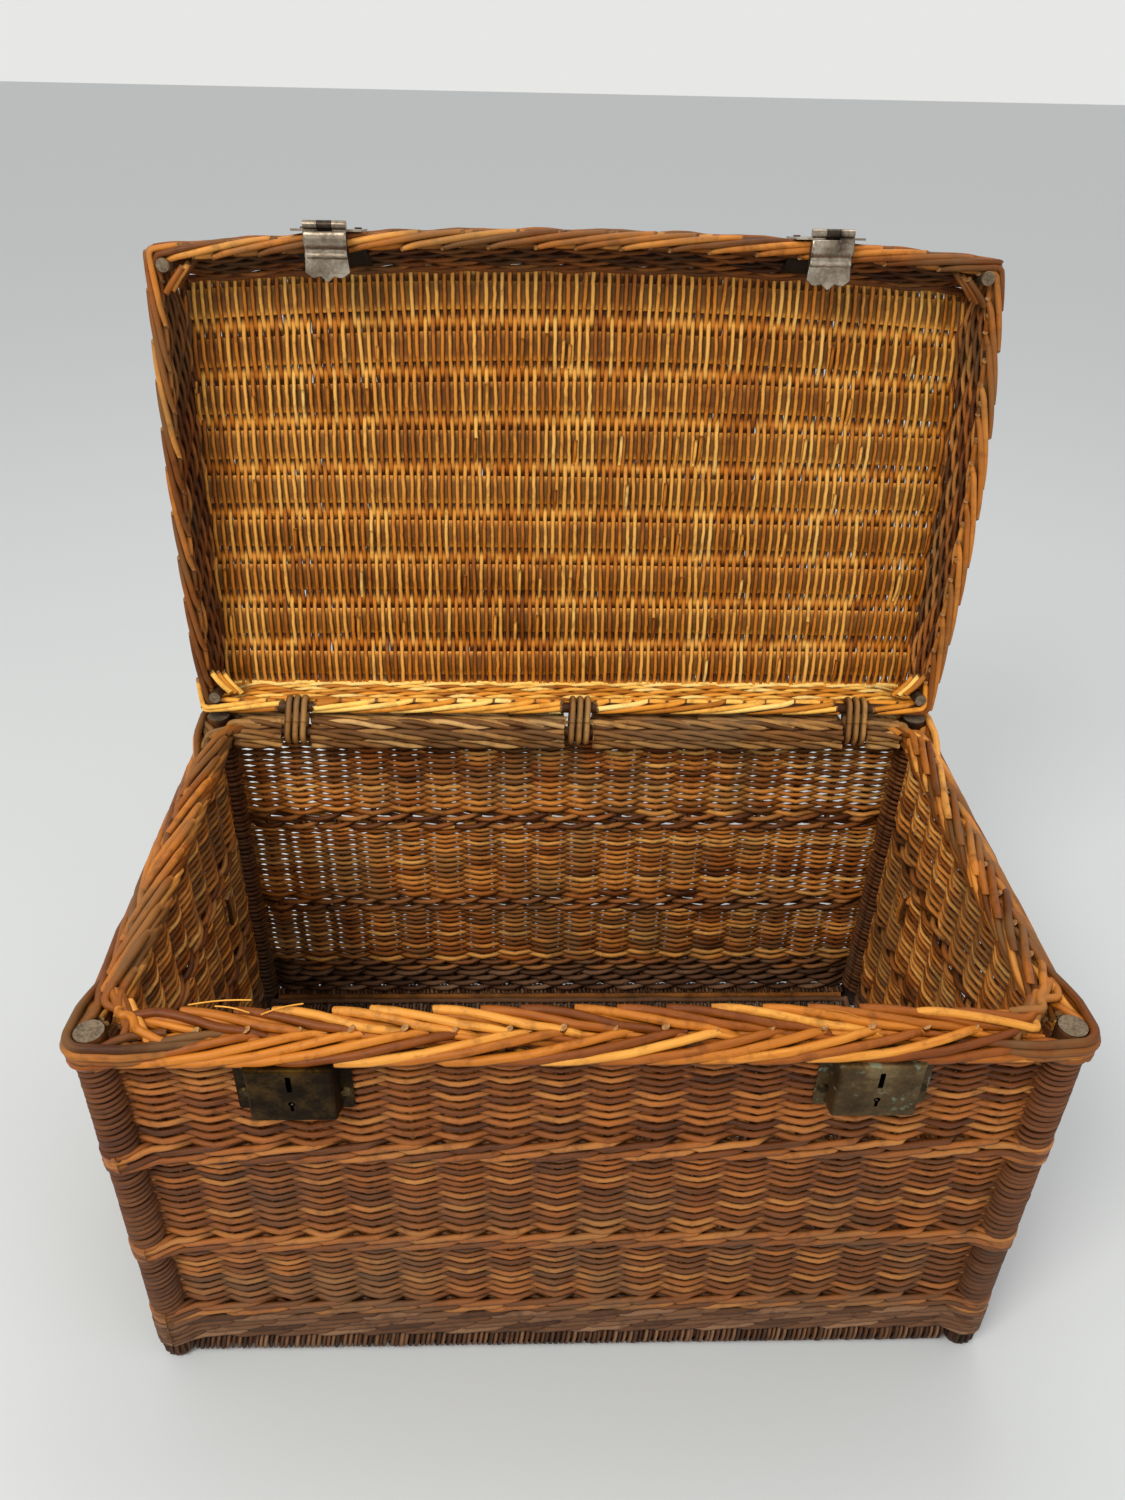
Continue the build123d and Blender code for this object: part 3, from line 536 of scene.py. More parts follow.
# Lighter copy of the gold skin: the pale gold of the lid's back wall, hinge-side roll and loose straws, with
# painted light on top of it.
STRAW_PAINTED_LIGHT = willow("willow_straw_painted_light", (142, 74, 10), (232, 152, 48), (255, 204, 98),
               (255, 232, 154), rough=0.38)
LATH = willow("willow_lath", (140, 74, 16), (226, 142, 48), (248, 172, 72),
              (255, 206, 112), rough=0.42)
UMBER = willow("willow_umber", (38, 16, 3), (92, 47, 14), (138, 78, 28),
               (180, 116, 54), grey=(84, 60, 32))
LID_ENDS = willow("willow_lid_ends", (48, 21, 4), (118, 63, 20), (168, 100, 40),
                  (206, 146, 74), grey=(98, 70, 38))
CUT = cut_willow("willow_cut", (104, 64, 28), (176, 130, 76))
SAWN = cut_willow("willow_sawn", (66, 54, 40), (124, 106, 82))
BRASS = metal("aged_brass", (16, 9, 0), (34, 21, 2), (80, 56, 16), (26, 17, 3), 0.46, 0.95, 0.80)
DULL_BRASS = metal("dull_brass", (28, 20, 6), (54, 40, 18), (104, 84, 48), (30, 22, 8), 0.42, 0.9)
PALE_BRASS = metal("pale_brass", (54, 38, 16), (82, 63, 34), (126, 106, 70),
                   (98, 110, 88), 0.42, 0.8, 0.58)
WORN_STEEL = metal("worn_steel", (76, 66, 56), (150, 136, 118), (222, 208, 190),
                   (96, 66, 42), 0.24, 0.95)
STEEL = metal("dark_steel", (32, 27, 22), (66, 56, 46), (150, 136, 118),
              (68, 42, 24), 0.32, 0.9)
IRON = metal("black_iron", (14, 13, 12), (24, 22, 20), (44, 40, 36),
             (52, 32, 20), 0.62, 0.4)

# ------------------------------------------------------------------ walls of the trunk


def broken_tones(t):
    """Tone along one row of weaving, where a new rod is laid in now and then, always at a crossing."""
    tones = np.full(len(t), rng.random())
    for joint in np.sort(rng.uniform(t[0], t[-1], 2)):
        tones[t > math.floor(joint) + 0.5] = rng.random()
    return tones


def hidden(wave):
    """How deep a rod lies where it crosses from one face to the other, which is painted there as shade."""
    return np.clip(1 - 1.7 * np.abs(wave), 0, 1)


# Randing has its fullest rods in the middle of the back wall. Its end rows are tucked under the wales.
SAMPLES = 6
THICK, THIN = 0.0027, 0.0018
PAST_LAST = 0.70
PACKED, OPEN_FROM = 0.30, 0.28
TUCKED_IN, TUCKED_UP = 0.002, 0.005


def randing(side, spacing, fullness):
    """Fine rods that pass in front of and behind single stakes, band by band."""
    bundle = Bundle()
    last = STAKES[side] - 1
    t = np.concatenate([[-PAST_LAST], np.arange(-0.5, last + 0.5 + 1e-6, 1 / SAMPLES), [last + PAST_LAST]])
    along = (t - last / 2) * STAKE_PITCH
    wave = pointed(t)
    inside = np.clip((np.minimum(t + 0.5, last + 0.5 - t)) * 6, 0, 1)
    if side == "back":
        fullness = fullness + PACKED * np.clip((OPEN_FROM - np.abs(along)) / 0.05, 0, 1)
    for low, high in BANDS:
        z = low + THICK - TUCKED_IN
        row = 0
        while z < high - THIN + TUCKED_UP:
            share = np.clip((z - low) / (high - low), 0, 1)
            radius = THICK + (THIN - THICK) * share ** 0.8
            flip = 1 if row % 2 else -1
            swing = (STAKE_R + radius) * (1 + 0.05 * rng.standard_normal())
            out = flip * swing * wave * inside
            sag = 0.0003 * rng.standard_normal(len(t)) + 0.0010 * np.sin(along * 5.0 + z * 40)
            girth = radius * (1 + 0.04 * rng.standard_normal(len(t)))
            # Painted shade where each rod crosses between the faces, and under it on the front or in the
            # gaps above and below it elsewhere.
            bundle.add(side_point(side, along, out, z + sag), girth, tones=broken_tones(t)[None],
                       deep=0.30 * hidden(wave)[None], flat=fullness,
                       soiled="under" if side == "front" else "gaps")
            z += 2 * radius * spacing
            row += 1
    return bundle


WALE_RODS = 3
LEVEL_SHIFT = 1.37


def wale_rows(low, high, rounds, radius, half_x, half_y, place, swing, corner_out,
              pitch=STAKE_PITCH, bundle=None, start=0.0, end=None, up=(0, 0, 1), soiled="under"):
    """Rounds of three-rod waling along loop_xy's way round. place turns x, y and height into points."""
    bundle = bundle or Bundle()
    length = ring_length(half_x, half_y)
    end = length if end is None else end
    run = np.arange(start, end + 1e-6, pitch / SAMPLES)
    near = corner_nearness(run, half_x, half_y, 0.7 * pitch)
    t = (run - pitch / 2) / pitch
    rise = 1.1 * radius
    gap = (high - low) / rounds
    front = (WALE_RODS - 1) / 2 - 0.5
    lean = (WALE_RODS - 2) / WALE_RODS * 1.5
    for level in range(rounds):
        base = low + gap * (level + 0.5)
        for j in range(WALE_RODS):
            p = (t - j - LEVEL_SHIFT * level) % WALE_RODS
            angle = 2 * math.pi * (p - front) / WALE_RODS
            out = swing * np.clip(1.5 * np.cos(angle) + lean, -1, 1)
            out = out * (1 - near) + near * (corner_out + radius)
            height = base + rise * np.sin(angle) * min(1.1, gap / (3.4 * radius))
            height = height + 0.0003 * rng.standard_normal(len(run))
            x, y = loop_xy(run, out, half_x, half_y)
            girth = radius * (1 + 0.05 * rng.standard_normal(len(run)))
            # Painted shade where a rod turns between the faces, away from the corners.
            turn = np.clip(1 - 1.4 * np.abs(out / swing), 0, 1) * (1 - near)
            bundle.add(place(x, y, height), girth, up=up, deep=turn[None], soiled=soiled)
    return bundle


# Each wall: its skin, the spacing of its rows and how far its rods are stretched up.
WALLS = (("front", RUST, 1.04, 1.22), ("back", INNER, 0.90, 1.22),
         ("left", INNER, 0.94, 1.15), ("right", INNER, 0.94, 1.15))
for side, skin, spacing, fullness in WALLS:
    rods = randing(side, spacing, fullness)
    rods.make(f"{side}_randing", "trunk", skin, CUT, [f"{side}_weave"], "willow")

# Each wale: its rounds, the radius of its rods, its skin and its material slot.
WALES = (("upper_wale", 2, 0.0031, RUST, "willow"), ("middle_wale", 2, 0.0030, RUST, "willow"),
         ("lower_wale", 2, 0.0029, RUST, "willow"), ("foot_wale", 4, 0.0034, FOOT, "willow_grey"))
for name, rounds, radius, skin, slot in WALES:
    low, high = WALE_SPANS[name]
    swing = box(name)[1][1] - HALF_Y - radius
    rods = wale_rows(low, high, rounds, radius, HALF_X, HALF_Y, upright, swing, POST_R)
    rods.make(f"{name}_rods", "trunk", skin, CUT, [name], slot)

# Stakes: upright rods with their ends inside foot and border.
STAKE_UP = (1, 0.3, 0)
stake_bundle = Bundle()
stake_z = np.linspace(FOOT_TOP, BORDER_BOTTOM + 0.004, 12)
for side in STAKES:
    for along in stake_spots(side):
        wobble = 0.0004 * rng.standard_normal(len(stake_z))
        girth = STAKE_R * (1 + 0.03 * rng.standard_normal(len(stake_z)))
        path = side_point(side, along + wobble, 0.0, stake_z)
        stake_bundle.add(path, girth, up=STAKE_UP, sides=8)
stake_bundle.make("stake_rods", "trunk", UMBER, CUT, ["stakes"], "willow")

# Lashing round the corner posts, thinner and flatter from band foot to band top.
LASHING_SPACING = 1.38
LASHING_THICK, LASHING_THINNING = 0.0026, 0.0005
LASHING_TILT, TILT_LOSS = 0.0055, 0.003
lashing = Bundle()
turn = np.linspace(0, 2 * math.pi, 25)
for sx, sy in CORNERS:
    angle = math.atan2(-sy, -sx) + turn
    right = np.cos(angle + (0 if sy < 0 else math.pi))
    for low, high in BANDS + tuple(WALE_SPANS.values()):
        z = low + 0.001
        while z < high:
            radius = LASHING_THICK - LASHING_THINNING * ((z - low) / (high - low))
            tilt = LASHING_TILT - TILT_LOSS * z / BORDER_TOP
            reach = POST_R + radius * 0.85
            height = z + tilt * right + 0.0006 * rng.standard_normal()
            path = upright(sx * HALF_X + reach * np.cos(angle), sy * HALF_Y + reach * np.sin(angle), height)
            girth = radius * (1 + 0.06 * rng.standard_normal())
            lashing.add(path, girth, tones=[0.3 + 0.4 * rng.random()])
            z += 2 * radius * LASHING_SPACING
lashing.make("corner_lashing", "trunk", LASHING, CUT, ["corner_wraps"], "willow_honey")

# ------------------------------------------------------------------ posts


def post(bundle, foot, top, radius, up, sides=20):
    """A thick straight willow stick with an eased sawn end."""
    foot, top = np.asarray(foot, float), np.asarray(top, float)
    share = np.concatenate([np.linspace(0, 1, 9)[:-1], [0.994, 0.998, 1.0]])
    easing = np.ones(len(share))
    easing[-2:] = (0.985, 0.93)
    path = foot + share[:, None] * (top - foot)
    bundle.add(path, radius * easing * (1 + 0.01 * rng.standard_normal(len(share))), up=up, sides=sides)


posts = Bundle()
post_low, post_high = box("corner_posts")
for sx, sy in CORNERS:
    spot = (sx * HALF_X, sy * HALF_Y)
    foot, top = (*spot, post_low[2] + 0.001), (*spot, post_high[2] - 0.004)
    post(posts, foot, top, POST_R, (sx * 0.7, sy * 0.7, 0))
posts.make("post_sticks", "trunk", UMBER, SAWN, ["corner_posts"], "willow_grey")

# ------------------------------------------------------------------ border of the trunk's mouth

TRUNK_RUN = ring_length(HALF_X, HALF_Y)
RIM_RODS = 62
RIM_PITCH = TRUNK_RUN / RIM_RODS
BACK_START = 2 * HALF_X + 2 * HALF_Y + 2 * CORNER_RUN
BACK_END = BACK_START + 2 * HALF_X


def side_of(run):
    """Which side of the trunk a place on the way round belongs to."""
    run = run % TRUNK_RUN
    if run < 2 * HALF_X + CORNER_RUN / 2:
        return "front"
    if run < BACK_START - CORNER_RUN / 2:
        return "right"
    if run < BACK_END + CORNER_RUN / 2:
        return "back"
    return "left"


def window_cuts(lo, hi, x_of, windows, margin):
    """The stretches of lo..hi whose x lies outside every hinge window."""
    fine = np.linspace(lo, hi, 160)
    x = x_of(fine)
    clear = np.ones(len(fine), bool)
    for wx in windows:
        clear &= np.abs(x - wx) > margin
    runs, begin = [], None
    for i, ok in enumerate(clear):
        if ok and begin is None:
            begin = fine[i]
        if begin is not None and (not ok or i == len(clear) - 1):
            runs.append((begin, fine[i] if ok else fine[i - 1]))
            begin = None
    return runs


border = {side: Bundle() for side in STAKES}
POINTS = 26
OUTER_R = 0.0042
UPPER_R = 0.0040
SHORTEST = 0.3


def rim_rod(side, run0, t_end, profile, radius, guard, slant=0.0):
    """One border rod. profile gives distance out, height and thickness by the pitches travelled.

    guard is the distance out at which the rod passes a corner post."""
    def x_of(t):
        return loop_xy(run0 + t * RIM_PITCH, 0.0, HALF_X, HALF_Y)[0]

    def on_back(t):
        return side_of(run0 + t * RIM_PITCH) == "back"

    windows = HINGE_X if on_back(0) or on_back(t_end) else []
    tone = rng.random()
    shake = 0.0006 * rng.standard_normal(3)
    for lo, hi in window_cuts(0, t_end, x_of, windows, HINGE_WINDOW + radius * 0.5):
        if hi - lo < SHORTEST:
            continue
        t = np.linspace(lo, hi, POINTS)
        out, height, girth = profile(t)
        run = run0 + t * RIM_PITCH
        near = corner_nearness(run, HALF_X, HALF_Y, 0.030)
        out = out * (1 - near) + near * guard
        x, y = loop_xy(run, out, HALF_X, HALF_Y)
        height = height + shake[0] + shake[1] * np.sin(2.1 * t)
        border[side].add(upright(x, y, height), radius * girth, slant=slant, tones=[tone], sides=8)


# Paths of the border rods: pitches travelled, distance out from the wall's middle, and height.
OUTER_PATH = ((-0.5, 0.004, -0.004), (0.0, 0.0145, -0.002), (0.6, 0.0165, 0.0005), (1.6, 0.0140, 0.0055),
              (2.6, 0.0070, 0.0115), (3.1, 0.0020, 0.0135), (3.6, -0.006, 0.009))
TIP_PATH = ((0, -0.0165, -0.0062), (0.15, -0.0160, -0.0046), (0.5, -0.0140, -0.0040),
            (1.1, -0.0085, -0.0042), (1.7, -0.0020, -0.0060), (2.2, 0.0045, -0.0100), (2.6, 0.0075, -0.0150))
UNDER_PATH = ((0, -0.0195, -0.0150), (0.3, -0.0190, -0.0120), (1.1, -0.0145, -0.0105),
              (2.2, -0.0060, -0.0125))
# The top rods' pitches travelled, share of the way outwards, and how far they are tucked down.
UPPER_PATH = ((0, 0, 0.002), (0.5, 0.14, 0), (1, 0.31, 0), (1.5, 0.55, 0), (1.95, 0.80, 0),
              (2.5, 0.93, 0.001), (2.9, 1, 0.004), (3.3, 1.15, 0.009))
UPPER_INNER, UPPER_CROSSING = -0.0225, 0.0190
UPPER_DROP, UPPER_FALL = 0.0046, 0.0050


def follow(path, t):
    """The second and third column of a path by its first."""
    places, second, third = zip(*path)
    return np.interp(t, places, second), np.interp(t, places, third)


def outer_profile(t):
    """Outer waling rod: comes out low, climbs the outer face and tucks under the top rods."""
    out, height = follow(OUTER_PATH, t - 0.5)
    return out, BORDER_BOTTOM + height, np.interp(t, [0, 4.1], [1.05, 0.9])


def upper_profile(t):
    """Top rod: starts at the inner edge and crosses outwards, steepest in the middle."""
    share, tuck = follow(UPPER_PATH, t)
    height = BORDER_TOP - UPPER_DROP - UPPER_FALL * share - tuck
    return UPPER_INNER + UPPER_CROSSING * share, height, np.interp(t, [0, 0.15, 3.3], [0.92, 1.06, 0.9])


def tip_profile(t):
    """Rod of the ends and the back: a cut tip that stands inwards, then over the top and down outside."""
    out, height = follow(TIP_PATH, t)
    return out, BORDER_TOP + height, np.interp(t, [0, 0.3, 2.6], [0.9, 1.05, 0.92])


def under_profile(t):
    """Darker rod under the tips, on the inner side."""
    out, height = follow(UNDER_PATH, t)
    return out, BORDER_TOP + height, np.interp(t, [0, 0.3, 2.2], [0.85, 1.0, 0.9])


PAST_POST = -(POST_R + UPPER_R)
for i in range(RIM_RODS):
    run0 = i * RIM_PITCH + 0.004 * rng.standard_normal()
    side = side_of(run0 + RIM_PITCH)
    rim_rod(side, run0, 4.1, outer_profile, OUTER_R, POST_R + OUTER_R + 0.0005)
    if side_of(run0) == "front" and side_of(run0 + 2.9 * RIM_PITCH) == "front":
        rim_rod(side, run0, 3.3, upper_profile, UPPER_R, PAST_POST, slant=0.35)
    else:
        rim_rod(side, run0, 2.6, tip_profile, UPPER_R * 0.95, PAST_POST, slant=0.9)
        rim_rod(side, run0 + RIM_PITCH / 2, 2.2, under_profile, UPPER_R * 0.85, PAST_POST, slant=0.9)

# At each corner: rods that turn round the post outside, and short ones that cross its inner side.
CORNER_ROUNDS = (("right", 1, -1, 2 * HALF_X + CORNER_RUN / 2),
                 ("right", 1, 1, 2 * (HALF_X + HALF_Y) + 1.5 * CORNER_RUN),
                 ("left", -1, 1, 4 * HALF_X + 2 * HALF_Y + 2.5 * CORNER_RUN),
                 ("left", -1, -1, TRUNK_RUN - CORNER_RUN / 2))
# Their distance out, height under the border's top and radius.
TURNING_RODS = ((0.0170, -0.0055, 0.0040), (0.0190, -0.0120, 0.0044), (0.0178, -0.0185, 0.0042))
CROSSING_RODS = 4
for side, sx, sy, corner_run in CORNER_ROUNDS:
    for reach, height, radius in TURNING_RODS:
        t = np.linspace(-1, 1, 60)
        near = 1 - np.abs(t) ** 1.6
        out = -0.001 + (reach + 0.001) * np.clip(1.25 * near, 0, 1)
        x, y = loop_xy(corner_run + t * 0.120, out, HALF_X, HALF_Y)
        fall = -0.014 * (1 - near)
        path = upright(x, y, BORDER_TOP + height + fall + 0.002 * t)
        border[side].add(path, radius * (0.7 + 0.3 * near), sides=8)
    for k in range(CROSSING_RODS):
        t = np.linspace(0, 1, 12)
        u = 0.002 + 0.0072 * k + 0.024 * t
        v = 0.048 - 0.0055 * k - 0.038 * t
        height = BORDER_TOP - 0.0045 - 0.006 * t + 0.002 * np.sin(math.pi * t) - 0.0008 * k
        border[side].add(upright(sx * (HALF_X - u), sy * (HALF_Y - v), height), 0.0036, sides=8, slant=0.7)

# Inner waling under the border, seen inside the trunk, and stubs of the stakes between the top rods.
# Each row has its distance out and its height over the border's bottom.
INNER_ROWS = ((-0.0140, 0.0030), (-0.0165, 0.0115), (-0.0010, 0.0060))
BACK_ROWS = ((-0.0270, 0.0010), (-0.0270, 0.0115), (-0.0160, 0.0180), (0.0110, 0.0150), (0.0040, 0.0170),
             (0.0120, 0.0060))
STRANDS = 3
STRAND_R, TWIST_R = 0.0031, 0.0030
TWIST_LENGTH = 0.105


def twisted_row(side, level, out, height, lo, hi):
    """Three strands twisted together along a wall, from lo to hi."""
    along = np.linspace(lo, hi, max(8, int((hi - lo) / 0.005)))
    for strand in range(STRANDS):
        twist = 2 * math.pi * (along / TWIST_LENGTH + strand / STRANDS + 0.37 * level)
        z = BORDER_BOTTOM + height - 1.3 * TWIST_R * np.sin(twist)
        border[side].add(side_point(side, along, out + TWIST_R * np.cos(twist), z), STRAND_R, sides=7)


for side in STAKES:
    half = (HALF_X if side in ("front", "back") else HALF_Y) - 0.022
    rows, windows = (BACK_ROWS, HINGE_X) if side == "back" else (INNER_ROWS, [])
    stretches = [(-half, half)]
    if windows:
        stretches = window_cuts(-half, half, lambda along: -along, windows, HINGE_WINDOW)
    for level, (out, height) in enumerate(rows):
        for lo, hi in stretches:
            twisted_row(side, level, out, height, lo, hi)
for side in ("front", "right", "left"):
    for spot in stake_spots(side):
        along = spot + 0.002 * rng.standard_normal()
        z = np.linspace(BORDER_BOTTOM, BORDER_TOP - 0.0065 - 0.003 * rng.random(), 5)
        border[side].add(side_point(side, along, -0.0035, z), STAKE_R, up=STAKE_UP, sides=8, slant=0.5)

# Loose straws on the front border: the place, length and turn of each.
STRAWS = ((-0.322, -0.2100, 0.4600, 0.050, 0.10), (-0.300, -0.2120, 0.4605, 0.030, -0.25),
          (-0.262, -0.2200, 0.4590, 0.034, 0.35), (0.195, -0.2180, 0.4590, 0.026, -0.3))
straws = Bundle()
for x, y, z, length, turned in STRAWS:
    t = np.linspace(0, 1, 6)
    path = upright(x + length * t * math.cos(turned), y + length * t * math.sin(turned),
                   z + 0.002 * np.sin(math.pi * t))
    straws.add(path, 0.0007, sides=5)
straws.make("loose_straws", "trunk", STRAW_PAINTED_LIGHT, CUT, [], "willow_gold")

for side, skin, slot in (("front", HONEY, "willow_honey"), ("right", RIM, "willow_honey"),
                         ("left", RIM, "willow_honey"), ("back", TAN, "willow_grey")):
    border[side].make(f"{side}_border_rods", "trunk", skin, CUT, [f"border_{side}"], slot)

# ------------------------------------------------------------------ floor and foot

floor_low, floor_high = box("floor_weave")
FLOOR_X = floor_high[0]
FLOOR_MID = (floor_low[2] + floor_high[2]) / 2
FLOOR_STICKS = 7
FLOOR_STICK_PITCH = 0.060
FLOOR_STICK_R = 0.0034

sticks = Bundle()
x = np.linspace(-FLOOR_X, FLOOR_X, 24)
for i in range(FLOOR_STICKS):
    y = (i - (FLOOR_STICKS - 1) / 2) * FLOOR_STICK_PITCH + 0.0006 * rng.standard_normal(len(x))
    sticks.add(upright(x, y, FLOOR_MID), FLOOR_STICK_R, sides=8)
sticks.make("floor_stick_rods", "trunk", UMBER, CUT, ["floor_sticks"], "willow")

# Floor rods from front to back, over and under the sticks, and a filling rod along each edge.
FLOOR_ROD, FLOOR_STEP, FLOOR_SWING = 0.0021, 0.0047, 0.0046
FILL_X, FILL_Y, FILL_Z, FILL_R = 0.3835, 0.2215, 0.0125, 0.0034
FILL_END = 0.010
floor_rods = Bundle()
floor_y = np.linspace(-11 / 3, 11 / 3, 45)
for i in range(int(2 * (FLOOR_X - FLOOR_ROD) / FLOOR_STEP) + 1):
    flip = 1 if i % 2 else -1
    x = -FLOOR_X + FLOOR_ROD + i * FLOOR_STEP + 0.0003 * rng.standard_normal(len(floor_y))
    path = upright(x, floor_y * FLOOR_STICK_PITCH, FLOOR_MID + flip * FLOOR_SWING * pointed(floor_y))
    floor_rods.add(path, FLOOR_ROD, up=(1, 0, 0))
for way in (-1, 1):
    x = np.linspace(-HALF_X + FILL_END, HALF_X - FILL_END, 60)
    floor_rods.add(upright(x, way * FILL_Y, FILL_Z + 0.0006 * np.sin(x * 60)), FILL_R, sides=8)
for way in (-1, 1):
    y = np.linspace(-HALF_Y + FILL_END, HALF_Y - FILL_END, 40)
    floor_rods.add(upright(way * FILL_X, y, FILL_Z + 0.0006 * np.sin(y * 60)), FILL_R, sides=8)
floor_rods.make("floor_rods", "trunk", FOOT, CUT, ["floor_weave"], "willow")

edge_sticks = Bundle()
EDGE_R = 0.0078
EDGE_HALF = HALF_X - 0.0175
x = np.linspace(-EDGE_HALF, EDGE_HALF, 24)
for sy in (-1, 1):
    edge_sticks.add(upright(x, sy * HALF_Y, FOOT_TOP / 2), EDGE_R, sides=14)
edge_sticks.make("edge_stick_rods", "trunk", UMBER, SAWN, ["floor_edge_sticks"], "willow")

# Rods that turn round the edge sticks in front and behind.
TURN_R, TURN_STEP, TURN_OFF = 0.0022, 0.0052, 0.0024
TURN_HALF = HALF_X - 0.014
for name, sy in (("floor_edge_front", -1), ("floor_edge_back", 1)):
    turns = Bundle()
    bend = np.linspace(-2.4, 2.4, 13)
    y = sy * (HALF_Y + (EDGE_R + TURN_OFF) * np.cos(bend))
    z = FOOT_TOP / 2 + (FOOT_TOP / 2 - TURN_OFF) * np.sin(bend)
    for i in range(int(2 * TURN_HALF / TURN_STEP)):
        girth = TURN_R * (1 + 0.12 * rng.standard_normal())
        lean = 0.0020 * bend + 0.0006 * rng.standard_normal()
        turns.add(upright(-TURN_HALF + i * TURN_STEP + lean, y, z), girth, up=(1, 0, 0))
    turns.make(f"{name}_turns", "trunk", FOOT, CUT, [name], "willow_grey")

# Short upright rods round the foot of each corner post.
CORNER_TURNS, TURN_ANGLE = 5, 0.40
corner_turns = Bundle()
share = np.linspace(-1, 1, 9)
reach = POST_R + 0.0018 - 0.0050 * share ** 4
height = FOOT_TOP / 2 + (FOOT_TOP / 2 - 0.0025) * share
for sx, sy in CORNERS:
    for k in range(-CORNER_TURNS, CORNER_TURNS + 1):
        angle = math.atan2(sy, sx) + k * TURN_ANGLE
        path = upright(sx * HALF_X + reach * math.cos(angle), sy * HALF_Y + reach * math.sin(angle), height)
        corner_turns.add(path, 0.0024 * (1 + 0.1 * rng.standard_normal()), up=(0.6, 0.8, 0.0))
corner_turns.make("foot_corner_turns", "trunk", FOOT, CUT, [], "willow_grey")

# Weavers between the edge sticks at both ends.
END_ROWS, END_LOW, END_STEP, END_R = 4, 0.0052, 0.0060, 0.0030
ends = Bundle()
y = np.arange(-(HALF_Y - 0.016), HALF_Y - 0.016, 0.007)
for sx in (-1, 1):
    for level in range(END_ROWS):
        out = 0.0055 * pointed(y / STAKE_PITCH + 0.5 + level)
        ends.add(upright(sx * (HALF_X + out), y, END_LOW + level * END_STEP), END_R, sides=8)
ends.make("floor_end_rods", "trunk", GREY, CUT, ["floor_ends"], "willow_grey")

# ------------------------------------------------------------------ handles

# Three rods twisted along a bow whose ends go through the wall.
HANDLE_RODS, HANDLE_ROD, HANDLE_SWELL = 3, 0.0043, 0.0046
HANDLE_BEND, HANDLE_TWIST = 1.18, 16.0
for name, sx in (("handle_left", -1), ("handle_right", 1)):
    low, high = box(name)
    reach = high[0] - low[0] - 0.002
    z_low, z_high = low[2] + 0.008, high[2] - 0.009
    s = np.linspace(-1, 1, 90)
    arc = s * HANDLE_BEND
    centre_y = (high[1] - 0.009) * np.sin(arc) / math.sin(HANDLE_BEND)
    lift = (np.cos(arc) - math.cos(HANDLE_BEND)) / (1 - math.cos(HANDLE_BEND))
    bundle = Bundle()
    for strand in range(HANDLE_RODS):
        twist = strand * 2 * math.pi / HANDLE_RODS + s * HANDLE_TWIST
        x = sx * (HALF_X - 0.003 + reach * lift + HANDLE_SWELL * np.cos(twist))
        y = centre_y + HANDLE_SWELL * np.sin(twist) * np.sin(arc)
        z = z_low + (z_high - z_low) * lift + HANDLE_SWELL * np.sin(twist)
        bundle.add(upright(x, y, z), HANDLE_ROD, up=(0.1, 0.05, 1), sides=8)
    bundle.make(f"{name}_twist", "trunk", HONEY, CUT, [name], "willow")

# The handles' rod ends, tucked down on the inner side of the wall.
TUCK_R, TUCK_APART = 0.0030, 0.0025
tucks = Bundle()
low, high = box("handle_tucks")
z = np.linspace(low[2], high[2] - 0.002, 9)
share = (z - z[0]) / (z[-1] - z[0])
girth = TUCK_R * (0.8 + 0.3 * np.sin(math.pi * share) ** 0.5)
for sx, sy in CORNERS:
    x = sx * (high[0] - 0.004 - 0.001 * np.sin(math.pi * share))
    for shift in (-TUCK_APART, TUCK_APART):
        y = sy * (high[1] - 0.004) + shift + 0.001 * share
        tucks.add(upright(x, y, z), girth, up=(0, 1, 0), sides=8, slant=0.8)
tucks.make("handle_tuck_rods", "trunk", INNER, CUT, ["handle_tucks"], "willow")

# ------------------------------------------------------------------ hinges

rail_low, rail_high = box("hinge_rail")
RAIL = np.array([(rail_low[1] + rail_high[1]) / 2, (rail_low[2] + rail_high[2]) / 2])
AXLE = np.array([HINGE_Y, HINGE_Z])
AXLE_R, LOOP_R, LOOP_CLEAR = 0.0064, 0.0036, 0.0001
LOOP_REACH = AXLE_R + LOOP_R + LOOP_CLEAR
LOOP_PITCH = 0.0084


def racetrack(share):
    """y and z on the loop round the rail and the lid's rod, by its share of the way round."""
    axis = AXLE - RAIL
    span = np.linalg.norm(axis)
    axis = axis / span
    normal = np.array([-axis[1], axis[0]])
    half_turn = math.pi * LOOP_REACH
    total = 2 * span + 2 * half_turn
    run = (share % 1) * total
    out = np.zeros((len(share), 2))
    for i, r in enumerate(run):
        if r < span:
            out[i] = RAIL + axis * r + normal * LOOP_REACH
        elif r < span + half_turn:
            a = (r - span) / LOOP_REACH
            out[i] = AXLE + LOOP_REACH * (normal * math.cos(a) + axis * math.sin(a))
        elif r < 2 * span + half_turn:
            out[i] = AXLE - axis * (r - span - half_turn) - normal * LOOP_REACH
        else:
            a = (r - 2 * span - half_turn) / LOOP_REACH
            out[i] = RAIL - LOOP_REACH * (normal * math.cos(a) + axis * math.sin(a))
    return out


share = np.linspace(0, 1.0, 40)
yz = racetrack(share + 0.1)
for name, hinge_x in zip(("left", "centre", "right"), HINGE_X):
    loops = Bundle()
    for i in range(3):
        x = hinge_x + (i - 1) * LOOP_PITCH + 0.0012 * np.sin(2 * math.pi * share)
        loops.add(upright(x, yz[:, 0], yz[:, 1]), LOOP_R, up=(1, 0, 0), sides=8, tones=[0.42 + 0.12 * i])
    loops.make(f"hinge_wrap_{name}", "trunk", TAN, CUT, [f"hinge_loops_{name}"], "willow_honey")

# ------------------------------------------------------------------ lid


